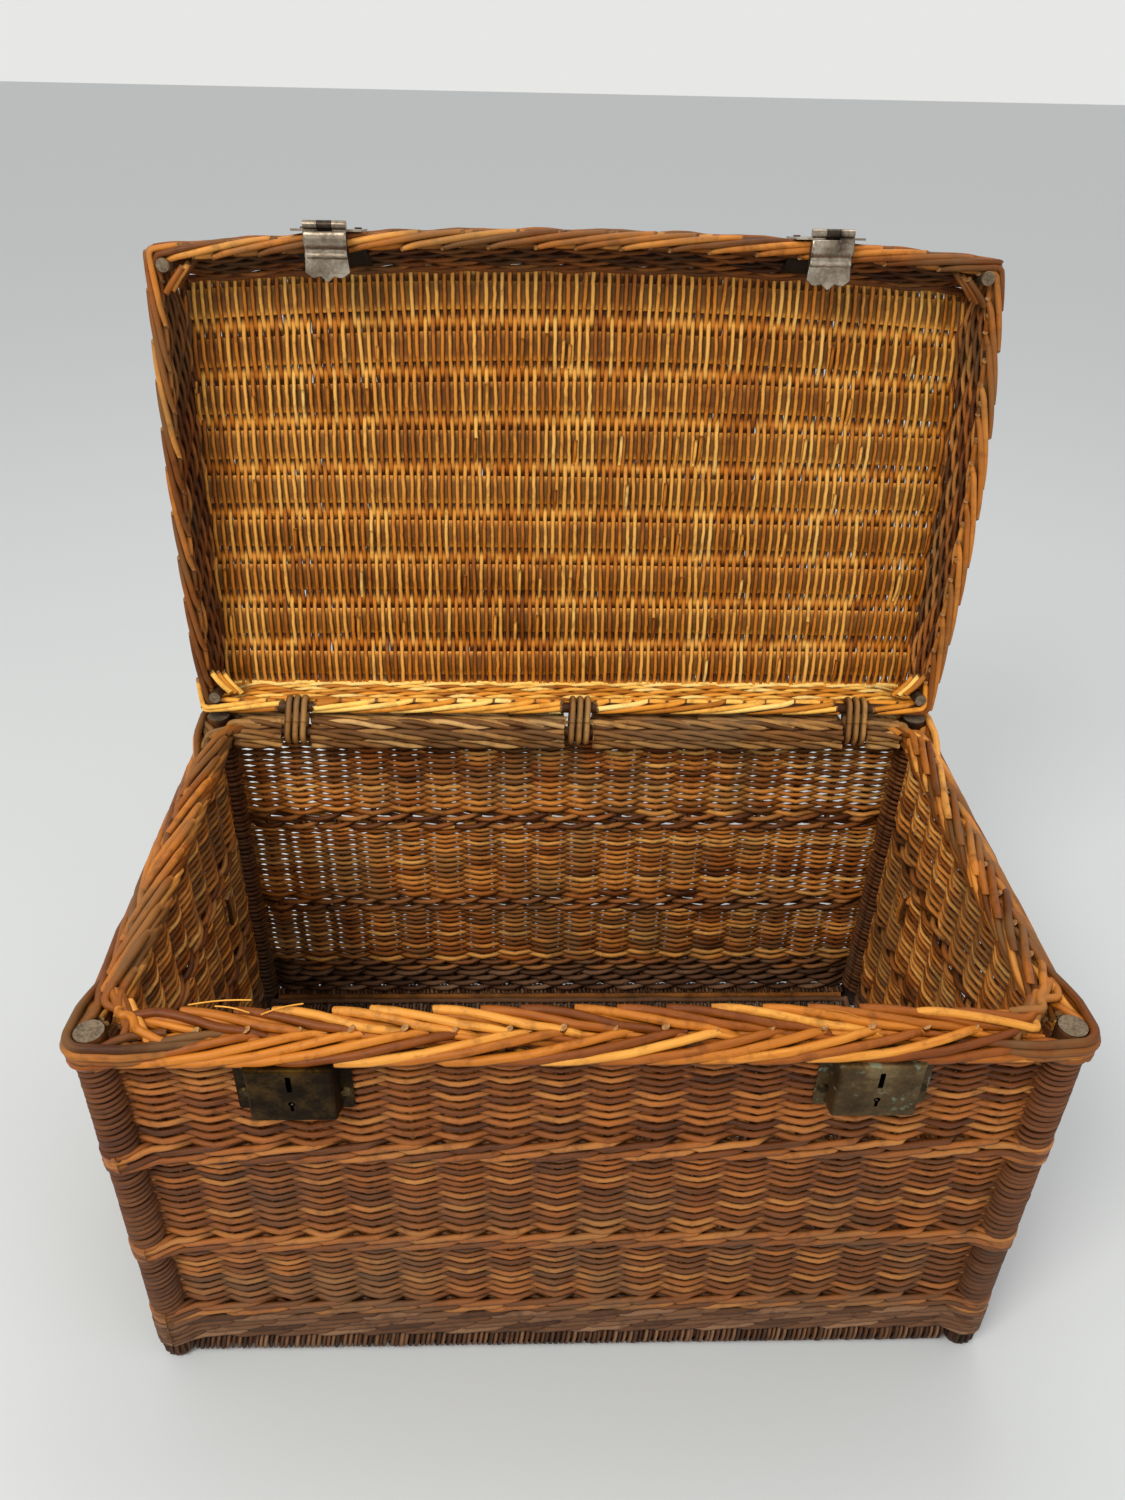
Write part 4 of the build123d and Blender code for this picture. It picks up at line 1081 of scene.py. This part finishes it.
LEAN_FRONT, LEAN_BACK, LEAN_END = 0.027, 0.005, 0.012
WALL_LOW = 0.0095
TOP_BACK, TOP_FRONT = -0.007, 0.485


def arch(reach):
    """Rise of the lid's top over its front and back walls."""
    middle_reach, half_reach = (TOP_FRONT + TOP_BACK) / 2, (TOP_FRONT - TOP_BACK) / 2
    return LID_CROWN * (1 - ((reach - middle_reach) / half_reach) ** 2)


def lid_place(x, y, height):
    """Points of the lid's leaning walls from their plan, whose y runs back from the lid's middle.

    The end walls rise in an arch to meet the lid's top."""
    reach = LID_MID - y
    lean = np.clip((height - WALL_LOW) / (LID_TOP - WALL_LOW), 0, 1.1)
    height = height + lean * arch(reach)
    forward = (reach - LID_WALL_BACK) / (LID_WALL_FRONT - LID_WALL_BACK)
    x = x * (1 - lean * LEAN_END / LID_WALL_X)
    return lid_point(x, reach - lean * (LEAN_FRONT * forward - LEAN_BACK * (1 - forward)), height)


WALL_RUN = ring_length(LID_WALL_X, LID_HALF)
WALL_BACK_START = 2 * (LID_WALL_X + LID_HALF) + 2 * CORNER_RUN
WALL_BACK_END = 4 * LID_WALL_X + 2 * LID_HALF + 2 * CORNER_RUN
WALL_FRONT_END = 2 * LID_WALL_X + CORNER_RUN / 2
WALL_ROUNDS, WALL_ROD = 7, 0.0023
# Rods along the foot and the top of the lid's walls: distance out and height.
EDGE_RODS = ((0.0035, 0.0095), (-0.0025, 0.0100), (-0.0010, LID_TOP + 0.0020), (0.0035, LID_TOP),
             (-0.0045, LID_TOP + 0.0005))
EDGE_ROD_R = 0.0027


def lid_wall(start, end, bundle=None):
    """Waling of the lid's wall from one place on the way round to another, with its edge rods."""
    bundle = wale_rows(0.0120, LID_TOP + 0.001, WALL_ROUNDS, WALL_ROD, LID_WALL_X, LID_HALF, lid_place,
                       0.0040, 0.0035, pitch=0.045, bundle=bundle, start=start, end=end, up=LID_UP,
                       soiled="nowhere")
    run = np.linspace(start, end, int((end - start) / 0.006))
    for out, height in EDGE_RODS:
        x, y = loop_xy(run, out + 0.0008 * np.sin(run * 90), LID_WALL_X, LID_HALF)
        path = lid_place(x, y, height + 0.0008 * np.sin(run * 140 + out * 900))
        bundle.add(path, EDGE_ROD_R, up=LID_UP, soiled="nowhere")
    return bundle


front_wall = lid_wall(0.0, WALL_FRONT_END)
front_wall.make("lid_front_wall_rods", "lid", UMBER, CUT, ["lid_front_wall"], "willow")
end_walls = lid_wall(WALL_BACK_END, WALL_RUN, lid_wall(WALL_FRONT_END, WALL_BACK_START))
end_walls.make("lid_end_wall_rods", "lid", LID_ENDS, CUT, ["lid_left_wall", "lid_right_wall"], "willow")
# The back wall takes the lighter straw skin, partly its pale gold and partly painted light.
back_wall = lid_wall(WALL_BACK_START, WALL_BACK_END)
back_wall.make("lid_back_wall_rods", "lid", STRAW_PAINTED_LIGHT, CUT, ["lid_back_wall"], "willow")

# Mouth roll: rods wound over a core, each with a cut tip on the inner side.
ROLL_X = 0.4035
ROLL_MID_BACK, ROLL_MID_FRONT = 0.0015, 0.4755
ROLL_MID = (ROLL_MID_BACK + ROLL_MID_FRONT) / 2
ROLL_HALF = (ROLL_MID_FRONT - ROLL_MID_BACK) / 2
ROLL_RUN = ring_length(ROLL_X, ROLL_HALF)
ROLL_BACK_START = 2 * ROLL_X + 2 * ROLL_HALF + 2 * CORNER_RUN
ROLL_BACK_END = ROLL_BACK_START + 2 * ROLL_X
ROLL_RODS = 60
ROLL_PITCH = ROLL_RUN / ROLL_RODS
ROLL_ROD = 0.0031
# The rods' two layers: the angles round the core where a rod starts and ends, its distance from the
# core's middle and its length in pitches.
ROLL_LAYERS = ((3.55, 6.1, 0.0058, 2.6), (3.2, 0.4, 0.0056, 2.4))
# The core's rods: distance out and height.
CORE_RODS = ((0.0, 0.001), (-0.003, 0.0045), (0.003, 0.0045))
CORE_R = 0.0036


def roll_place(x, y, height):
    """Points of the mouth roll from its plan."""
    return lid_point(x, ROLL_MID - y, height)


def on_lid_back(run):
    """Whether a place on the roll lies along the hinge side."""
    return ROLL_BACK_START - 0.02 < run % ROLL_RUN < ROLL_BACK_END + 0.02


roll = {"mouth": Bundle(), "hinge_side": Bundle()}


def roll_rod(run0, layer):
    """One rod of the roll, left out where a hinge passes."""
    start, end, reach, length = ROLL_LAYERS[layer]
    bundle = roll["hinge_side" if on_lid_back(run0 + ROLL_PITCH) else "mouth"]
    windows = HINGE_X if on_lid_back(run0) or on_lid_back(run0 + length * ROLL_PITCH) else []
    tone = rng.random()
    for lo, hi in window_cuts(0, length, lambda t: loop_xy(run0 + t * ROLL_PITCH, 0.0, ROLL_X, ROLL_HALF)[0],
                              windows, HINGE_WINDOW + 0.006):
        if hi - lo < 0.25:
            continue
        t = np.linspace(lo, hi, 20)
        angle = start + (end - start) * (t / length)
        tip = np.clip(1 - t / 0.35, 0, 1) * (layer == 0)
        out = reach * np.cos(angle) - 0.0022 * tip
        height = reach * np.sin(angle) + 0.001 * tip
        x, y = loop_xy(run0 + t * ROLL_PITCH, out, ROLL_X, ROLL_HALF)
        girth = ROLL_ROD * np.interp(t, [0, 0.3, length], [0.8, 1.05, 0.9])
        bundle.add(roll_place(x, y, height), girth, up=LID_UP, slant=0.9, tones=[tone], sides=8,
                   soiled="nowhere")


for i in range(ROLL_RODS):
    for layer in range(len(ROLL_LAYERS)):
        roll_rod((i + 0.5 * layer) * ROLL_PITCH + 0.003 * rng.standard_normal(), layer)
core_run = np.linspace(0, ROLL_RUN, 400)
for out, height in CORE_RODS:
    for part in (core_run[core_run < ROLL_BACK_START - 0.01], core_run[core_run > ROLL_BACK_END + 0.01]):
        x, y = loop_xy(part, out, ROLL_X, ROLL_HALF)
        # Painted shade all along the core rods, which lie inside the roll.
        roll["mouth"].add(roll_place(x, y, height), CORE_R, up=LID_UP, sides=8, deep=0.6)

# Short posts in the lid's corners, each with three rods across its inner side.
LID_POST_X, LID_POST_R = 0.3925, 0.0066
LID_POST_LOW, LID_POST_HIGH = -0.0088, 0.014
lid_posts = Bundle()
for sx in (-1, 1):
    for part, reach, way in (("hinge_side", 0.0135, 1), ("mouth", 0.4645, -1)):
        x = sx * LID_POST_X
        foot, top = lid_point(x, reach, LID_POST_HIGH), lid_point(x, reach, LID_POST_LOW)
        post(lid_posts, foot, top, LID_POST_R, (1, 0, 0), sides=16)
        for k in range(3):
            t = np.linspace(0, 1, 10)
            inward = 0.002 + 0.0050 * k + 0.018 * t
            onward = 0.027 - 0.0025 * k - 0.024 * t
            height = 0.0010 + 0.0045 * k - 0.0030 * np.sin(math.pi * t)
            path = lid_point(sx * (LID_POST_X + 0.004 - inward), reach + way * onward, height)
            roll[part].add(path, ROLL_ROD, up=LID_UP, sides=8, slant=0.7, soiled="nowhere")
roll["mouth"].make("lid_roll_rods", "lid", RIM, CUT, ["lid_border"], "willow_honey")
# The hinge-side roll takes the lighter straw skin, partly its pale gold and partly painted light.
roll["hinge_side"].make("lid_back_roll_rods", "lid", STRAW_PAINTED_LIGHT, CUT, [], "willow_honey")
lid_posts.make("lid_post_sticks", "lid", GREY, SAWN, ["lid_posts"], "willow")

# Laths: flat strips with eased edges.
PANEL_X = 0.3935
LATH_HALF, LATH_FLAT = 0.0152, 0.13
laths = Bundle()
x = np.linspace(-PANEL_X, PANEL_X, 60)
for i in range(LATHS):
    reach = LATH_FIRST + i * LATH_PITCH
    bowed = 0.0006 * np.sin(x * 9 + i * 1.7) + 0.0002 * rng.standard_normal(len(x))
    path = lid_point(x, reach + 0.0010 * np.sin(x * 5 + i), LID_TOP + arch(reach) + bowed)
    laths.add(path, LATH_HALF, up=LID_UP, sides=16, flat=LATH_FLAT, tones=[0.25 + 0.5 * rng.random()])
laths.make("lid_lath_strips", "lid", LATH, CUT, ["lid_laths"], "willow_gold")


def panel_painted_shade(outward, sides=6):
    """Painted shade round a panel rod: its inner half while it is outside a lath, its outer half while
    inside.
    """
    facing = round_angles(sides)[0]
    outer = np.clip((outward - 0.1) * 5, 0, 1)[:, None] * (facing < -0.2)
    inner = np.clip((-outward - 0.1) * 5, 0, 1)[:, None] * (facing > 0.2)
    return outer + inner


# Panel: rods from back to front, over and under the laths, which swell behind a lath. Some have an end
# cut off beside a lath.
PANEL_ROD, PANEL_STEP, PANEL_SWING, PANEL_FLAT = 0.00198, 0.00415, 0.0042, 1.18
PANEL_END = 0.55
PANEL_BEHIND = 0.34
CUT_END_SHARE = 0.35
CUT_END_START, CUT_END_LIFT = -0.42, 0.0062
panel = Bundle()
panel_t = np.concatenate([[-PANEL_END], np.arange(-0.5, LATHS - 0.5 + 1e-6, 1 / 8), [LATHS - 1 + PANEL_END]])
panel_reach = LATH_FIRST + panel_t * LATH_PITCH
wave = np.clip(1.06 * np.cos(math.pi * panel_t), -1, 1)
inside = np.clip((np.minimum(panel_t, LATHS - 1 - panel_t) + PANEL_END) * 3, 0, 1)
columns = int(2 * (PANEL_X - PANEL_ROD) / PANEL_STEP) + 1


def cut_end(x, flip):
    """The loose end of a rod that was joined in beside a lath."""
    first = 2 * rng.integers(0, LATHS // 2) + (0 if flip < 0 else 1)
    t = np.linspace(CUT_END_START, 0.02 + 0.25 * rng.random(), 8) + first
    lift = CUT_END_LIFT * np.clip((t - first - CUT_END_START) * 4, 0, 1) + 0.001
    shift = 0.0015 * rng.standard_normal()
    reach = LATH_FIRST + t * LATH_PITCH
    path = lid_point(x + shift + 0.002 * (t - first), reach, LID_TOP + arch(reach) - lift)
    # Painted shade on both flanks of the rod.
    panel.add(path, PANEL_ROD * 1.05, up=(1, 0, 0), soiled="flanks")


for i in range(columns):
    x = (i - (columns - 1) / 2) * PANEL_STEP
    flip = 1 if i % 2 else -1
    height = LID_TOP + arch(panel_reach) + flip * PANEL_SWING * wave * inside
    behind = np.clip(1.6 * np.clip(0.5 + 0.8 * flip * wave, 0, 1), 0, 1)
    girth = PANEL_ROD * (1 + 0.05 * rng.standard_normal()) * (1 + PANEL_BEHIND * behind)
    lean = 0.0005 * rng.standard_normal() * np.sin(panel_t * 2.2 + i)
    wander = 0.00018 * rng.standard_normal(len(panel_t)) + lean
    # Painted shade on both flanks of each rod, and on the half that faces away while it passes a lath.
    panel.add(lid_point(x + wander, panel_reach, height), girth, up=(1, 0, 0),
              tones=0.1 + 0.75 * broken_tones(panel_t)[None], deep=panel_painted_shade(flip * wave)[None],
              soiled="flanks", flat=PANEL_FLAT)
    if rng.random() < CUT_END_SHARE:
        cut_end(x, flip)
panel.make("lid_panel_rods", "lid", GOLD, CUT, ["lid_panel"], "willow_gold")

# ------------------------------------------------------------------ locks

PLATE_HALF, PLATE_LOW, PLATE_HIGH = 0.0475, 0.3725, 0.4335
CASE_HALF_FOOT, CASE_HALF_FACE = 0.0375, 0.0335
CASE_LOW, CASE_HIGH = 0.3755, 0.4350
FACE_HALF, FACE_LOW, FACE_HIGH = 0.0325, 0.3771, 0.4334
SHEET = 0.0006
PLATE_FACE_Y = -0.2424
CASE_FACE_Y = box("lock_bolt_left")[0][1] - 0.0008
WALE_FACE_Y = -0.2408
# The slit for the staple, the keyhole, and the height between them.
SLIT_HALF, SLIT_LOW, SLIT_HIGH, SLIT_MIDDLE = 0.0022, 0.4108, 0.4285, 0.4190
KEYHOLE_R, KEYHOLE_SLIT, KEYHOLE_DROP, KEYHOLE_Z = 0.0029, 0.0014, 0.0084, 0.3965
FACE_SPLIT = 0.4040


def outline(half, low, high, corner, steps=4):
    """Rounded rectangle round (0, middle) as x, z pairs, counterclockwise."""
    points = []
    for cx, cz, a0 in ((half - corner, low + corner, -90), (half - corner, high - corner, 0),
                       (-half + corner, high - corner, 90), (-half + corner, low + corner, 180)):
        for i in range(steps + 1):
            a = math.radians(a0 + 90 * i / steps)
            points.append((cx + corner * math.cos(a), cz + corner * math.sin(a)))
    return points


def keyhole(radius, slit, drop, z, steps=14):
    """A round hole with a slit that hangs from it, as x, z pairs, counterclockwise."""
    start = math.asin(slit / radius)
    points = [(-slit, z - drop), (slit, z - drop)]
    for i in range(steps + 1):
        a = -math.pi / 2 + start + (2 * math.pi - 2 * start) * i / steps
        points.append((radius * math.cos(a), z + radius * math.sin(a)))
    return points


def rectangle(half, low, high):
    """Corners of a rectangle round (0, middle) as x, z pairs, counterclockwise."""
    return [(half, low), (half, high), (-half, high), (-half, low)]


def hit(points, centre, angle):
    """Where a ray from (0, centre) leaves a polygon of x, z pairs."""
    dx, dz = math.cos(angle), math.sin(angle)
    best = None
    for i in range(len(points)):
        (ax, az), (bx, bz) = points[i], points[(i + 1) % len(points)]
        az, bz = az - centre, bz - centre
        cross = dx * (bz - az) - dz * (bx - ax)
        if abs(cross) < 1e-15:
            continue
        reach = (ax * (bz - az) - az * (bx - ax)) / cross
        share = (ax * dz - az * dx) / cross
        if reach > 0 and -1e-6 <= share <= 1 + 1e-6 and (best is None or reach > best):
            best = reach
    return dx * best, centre + dz * best


def lock_shell(name, centre_x, brass, stands_for):
    """Flanged plate and bevelled case with a slit for the staple and a keyhole."""
    mesh = bmesh.new()

    def ring(points, y):
        return [mesh.verts.new((centre_x + x, y, z)) for x, z in points]

    def bridge(a, b):
        for i in range(len(a)):
            j = (i + 1) % len(a)
            mesh.faces.new((a[i], a[j], b[j], b[i]))

    def stack(levels):
        rings = [ring(points, y) for points, y in levels]
        for a, b in zip(rings, rings[1:]):
            bridge(a, b)
        return rings

    edge = 0.0004
    plate = stack([
        (outline(PLATE_HALF, PLATE_LOW, PLATE_HIGH, 0.003), WALE_FACE_Y),
        (outline(PLATE_HALF, PLATE_LOW, PLATE_HIGH, 0.003), PLATE_FACE_Y + edge),
        (outline(PLATE_HALF - edge, PLATE_LOW + edge, PLATE_HIGH - edge, 0.0028), PLATE_FACE_Y),
    ])
    mesh.faces.new(plate[-1])
    mesh.faces.new(list(reversed(plate[0])))
    slope = CASE_HALF_FOOT - CASE_HALF_FACE
    stack([
        (rectangle(CASE_HALF_FOOT, CASE_LOW, CASE_HIGH), WALE_FACE_Y),
        (rectangle(CASE_HALF_FOOT, CASE_LOW, CASE_HIGH), PLATE_FACE_Y - 0.001),
        (rectangle(CASE_HALF_FACE + 0.3 * slope, CASE_LOW, CASE_HIGH), CASE_FACE_Y + 0.0022),
        (rectangle(CASE_HALF_FACE, CASE_LOW + 0.0006, CASE_HIGH - 0.0006), CASE_FACE_Y + 0.0006),
        (rectangle(FACE_HALF, FACE_LOW, FACE_HIGH), CASE_FACE_Y),
    ])
    slit = outline(SLIT_HALF, SLIT_LOW, SLIT_HIGH, 0.0008, 2)
    key = keyhole(KEYHOLE_R, KEYHOLE_SLIT, KEYHOLE_DROP, KEYHOLE_Z)
    for hole, centre, low, high in ((slit, SLIT_MIDDLE, FACE_SPLIT, FACE_HIGH),
                                    (key, KEYHOLE_Z, FACE_LOW, FACE_SPLIT)):
        border_points = rectangle(FACE_HALF, low, high)
        angles = sorted({round(math.atan2(z - centre, x), 6) for x, z in hole + border_points})
        inner = ring([hit(hole, centre, a) for a in angles], CASE_FACE_Y)
        outer = ring([hit(border_points, centre, a) for a in angles], CASE_FACE_Y)
        back = ring([hit(hole, centre, a) for a in angles], CASE_FACE_Y + SHEET)
        bridge(inner, outer)
        bridge(back, inner)
    bmesh.ops.recalc_face_normals(mesh, faces=mesh.faces)
    data = bpy.data.meshes.new(name)
    mesh.to_mesh(data)
    mesh.free()
    data.materials.append(brass)
    settle(bpy.data.objects.new(name, data), "trunk", stands_for)


for side, brass in (("left", BRASS), ("right", PALE_BRASS)):
    case = f"lock_case_{side}"
    lock_shell(f"lock_shell_{side}", middle(case)[0], brass, [f"lock_plate_{side}", case])

# ------------------------------------------------------------------ hasps


def slab(name, face, back, body, material, stands_for):
    """A closed sheet between two grids of points, each of shape (rows, columns, 3)."""
    rows, columns = face.shape[:2]
    verts = np.concatenate([face.reshape(-1, 3), back.reshape(-1, 3)])
    index = np.arange(rows * columns).reshape(rows, columns)
    quads = []
    for r in range(rows - 1):
        for c in range(columns - 1):
            quad = (index[r, c], index[r, c + 1], index[r + 1, c + 1], index[r + 1, c])
            quads.append(quad)
            quads.append(tuple(i + rows * columns for i in reversed(quad)))
    rim = np.concatenate([index[0, :-1], index[:-1, -1], index[-1, :0:-1], index[:0:-1, 0]])
    for a, b in zip(rim, np.roll(rim, -1)):
        quads.append((b, a, a + rows * columns, b + rows * columns))
    data = bpy.data.meshes.new(name)
    data.from_pydata(verts.tolist(), [], [tuple(int(i) for i in quad) for quad in quads])
    data.materials.append(material)
    data.update()
    for polygon in data.polygons[:2 * (rows - 1) * (columns - 1)]:
        polygon.use_smooth = True
    settle(bpy.data.objects.new(name, data), body, stands_for)


# Strap: its foot has a lobe each side of a middle point, and its face stands out in two ridges.
# STRAP_FOOT gives how far it hangs down across its width, STRAP_WAVE how far it stands out down its length.
STRAP_HALF = 0.0200
STRAP_TOP = 0.0048
STRAP_FOOT = ((-0.0200, 0.0410), (-0.0130, 0.0465), (-0.0060, 0.0445), (0.0, 0.0500),
              (0.0060, 0.0445), (0.0130, 0.0465), (0.0200, 0.0410))
STRAP_WAVE = ((0.0040, 0.4), (0.0070, 2.4), (0.0110, 3.4), (0.0150, 3.3), (0.0180, 2.4), (0.0205, 0.8),
              (0.0235, 0.5), (0.0265, 1.7), (0.0288, 0.4), (0.0300, 0.1), (0.0420, 0.1), (0.0500, 0.8))
MILLIMETRE = 0.001
BACKING_HALF = 0.0330
BACKING_HEIGHTS = (0.012, 0.020, 0.028, 0.036)
BACKING_FACE, BACKING_BACK = LID_HALF - 0.0086, LID_HALF - 0.0068
for side in ("left", "right"):
    strap_low, strap_high = box(f"hasp_strap_{side}")
    axis_z = next(j for j in frame["joints"] if j["name"] == f"hasp_{side}_hang")["pos_m"][2]
    x = np.linspace(-STRAP_HALF, STRAP_HALF, 21)
    foot = np.interp(x, *zip(*STRAP_FOOT))
    drop = STRAP_TOP + np.linspace(0, 1, 40)[:, None] * (foot - STRAP_TOP)[None, :]
    flare = 1 + 0.05 * np.clip((drop - 0.030) / 0.012, 0, 1) - 0.03 * np.exp(-((drop - 0.022) / 0.004) ** 2)
    wave_out = MILLIMETRE * np.interp(drop, *zip(*STRAP_WAVE))
    across = (strap_low[0] + strap_high[0]) / 2 + x * flare
    face = upright(across, strap_low[1] - 0.0003 - wave_out, axis_z - drop)
    back = upright(across, strap_low[1] - 0.0001, axis_z - drop)
    slab(f"hasp_strap_face_{side}", face, back, f"hasp_{side}", WORN_STEEL, [])

    backing = f"hasp_backing_{side}"
    x = middle(backing)[0] + np.linspace(-BACKING_HALF, BACKING_HALF, 9)
    x, height = np.meshgrid(x, BACKING_HEIGHTS)
    face, back = lid_place(x, -BACKING_FACE, height), lid_place(x, -BACKING_BACK, height)
    slab(f"hasp_backing_plate_{side}", face, back, "lid", IRON, [backing])

# ------------------------------------------------------------------ carried-over pieces


def dress(node, material):
    """Gives a CAD node its finish."""
    piece = frame["nodes"][node]
    piece.data.materials.clear()
    piece.data.materials.append(material)


dress("hinge_rail", UMBER)
dress("lid_hinge_rod", UMBER)
for side in ("left", "right"):
    for node in ("lock_key_pin_", "lock_bolt_", "hasp_strap_"):
        dress(node + side, STEEL)
    for node in ("hasp_pin_", "hasp_leaf_", "hasp_staple_"):
        dress(node + side, WORN_STEEL)
dress("lock_rivets", DULL_BRASS)
dress("hasp_rivets", STEEL)

# ------------------------------------------------------------------ stage, light and camera


def stage_floor():
    """A plain pale floor."""
    size = 14.0
    mesh = bpy.data.meshes.new("floor")
    corners = [(-size, -size, 0), (size, -size, 0), (size, size, 0), (-size, size, 0)]
    mesh.from_pydata(corners, [], [(0, 1, 2, 3)])
    n = Nodes("pale_floor")
    n.shader.inputs["Base Color"].default_value = linear(200, 203, 204)
    n.shader.inputs["Roughness"].default_value = 0.75
    mesh.materials.append(n.material)
    floor = bpy.data.objects.new("floor", mesh)
    bpy.context.scene.collection.objects.link(floor)


def lamp(name, place, target, size, power, colour=(1.0, 1.0, 1.0)):
    """A soft square lamp that looks at target."""
    data = bpy.data.lights.new(name, "AREA")
    data.shape = "SQUARE"
    data.size = size
    data.energy = power
    data.color = colour
    lamp_object = bpy.data.objects.new(name, data)
    lamp_object.location = place
    direction = np.array(target) - np.array(place)
    lamp_object.rotation_mode = "QUATERNION"
    lamp_object.rotation_quaternion = Vector(direction).to_track_quat("-Z", "Y")
    bpy.context.scene.collection.objects.link(lamp_object)


stage_floor()
world = bpy.data.worlds.new("studio")
world.use_nodes = True
world.node_tree.nodes["Background"].inputs["Color"].default_value = (0.80, 0.80, 0.79, 1.0)
world.node_tree.nodes["Background"].inputs["Strength"].default_value = 1.0
bpy.context.scene.world = world
lamp("key", (-1.3, -1.6, 2.8), (0, 0.1, 0.4), 1.0, 58.0, (1.0, 0.96, 0.90))
lamp("fill", (2.2, -1.8, 1.6), (0, 0, 0.35), 1.8, 10.0, (0.93, 0.96, 1.0))
lamp("top", (0.3, 0.9, 3.0), (0, 0.1, 0.3), 1.2, 16.0)

SENSOR_MM, LENS_MM = 36.0, 27.7536
camera_data = bpy.data.cameras.new("camera")
camera_data.sensor_width = SENSOR_MM
camera_data.lens = LENS_MM
camera = bpy.data.objects.new("camera", camera_data)
camera.location = (-0.0515, -0.8749, 1.1586)
camera.rotation_euler = (math.radians(55.95), math.radians(-1.18), math.radians(-1.49))
bpy.context.scene.collection.objects.link(camera)
bpy.context.scene.camera = camera
bpy.context.scene.view_settings.view_transform = "Standard"

bpy.context.view_layer.update()
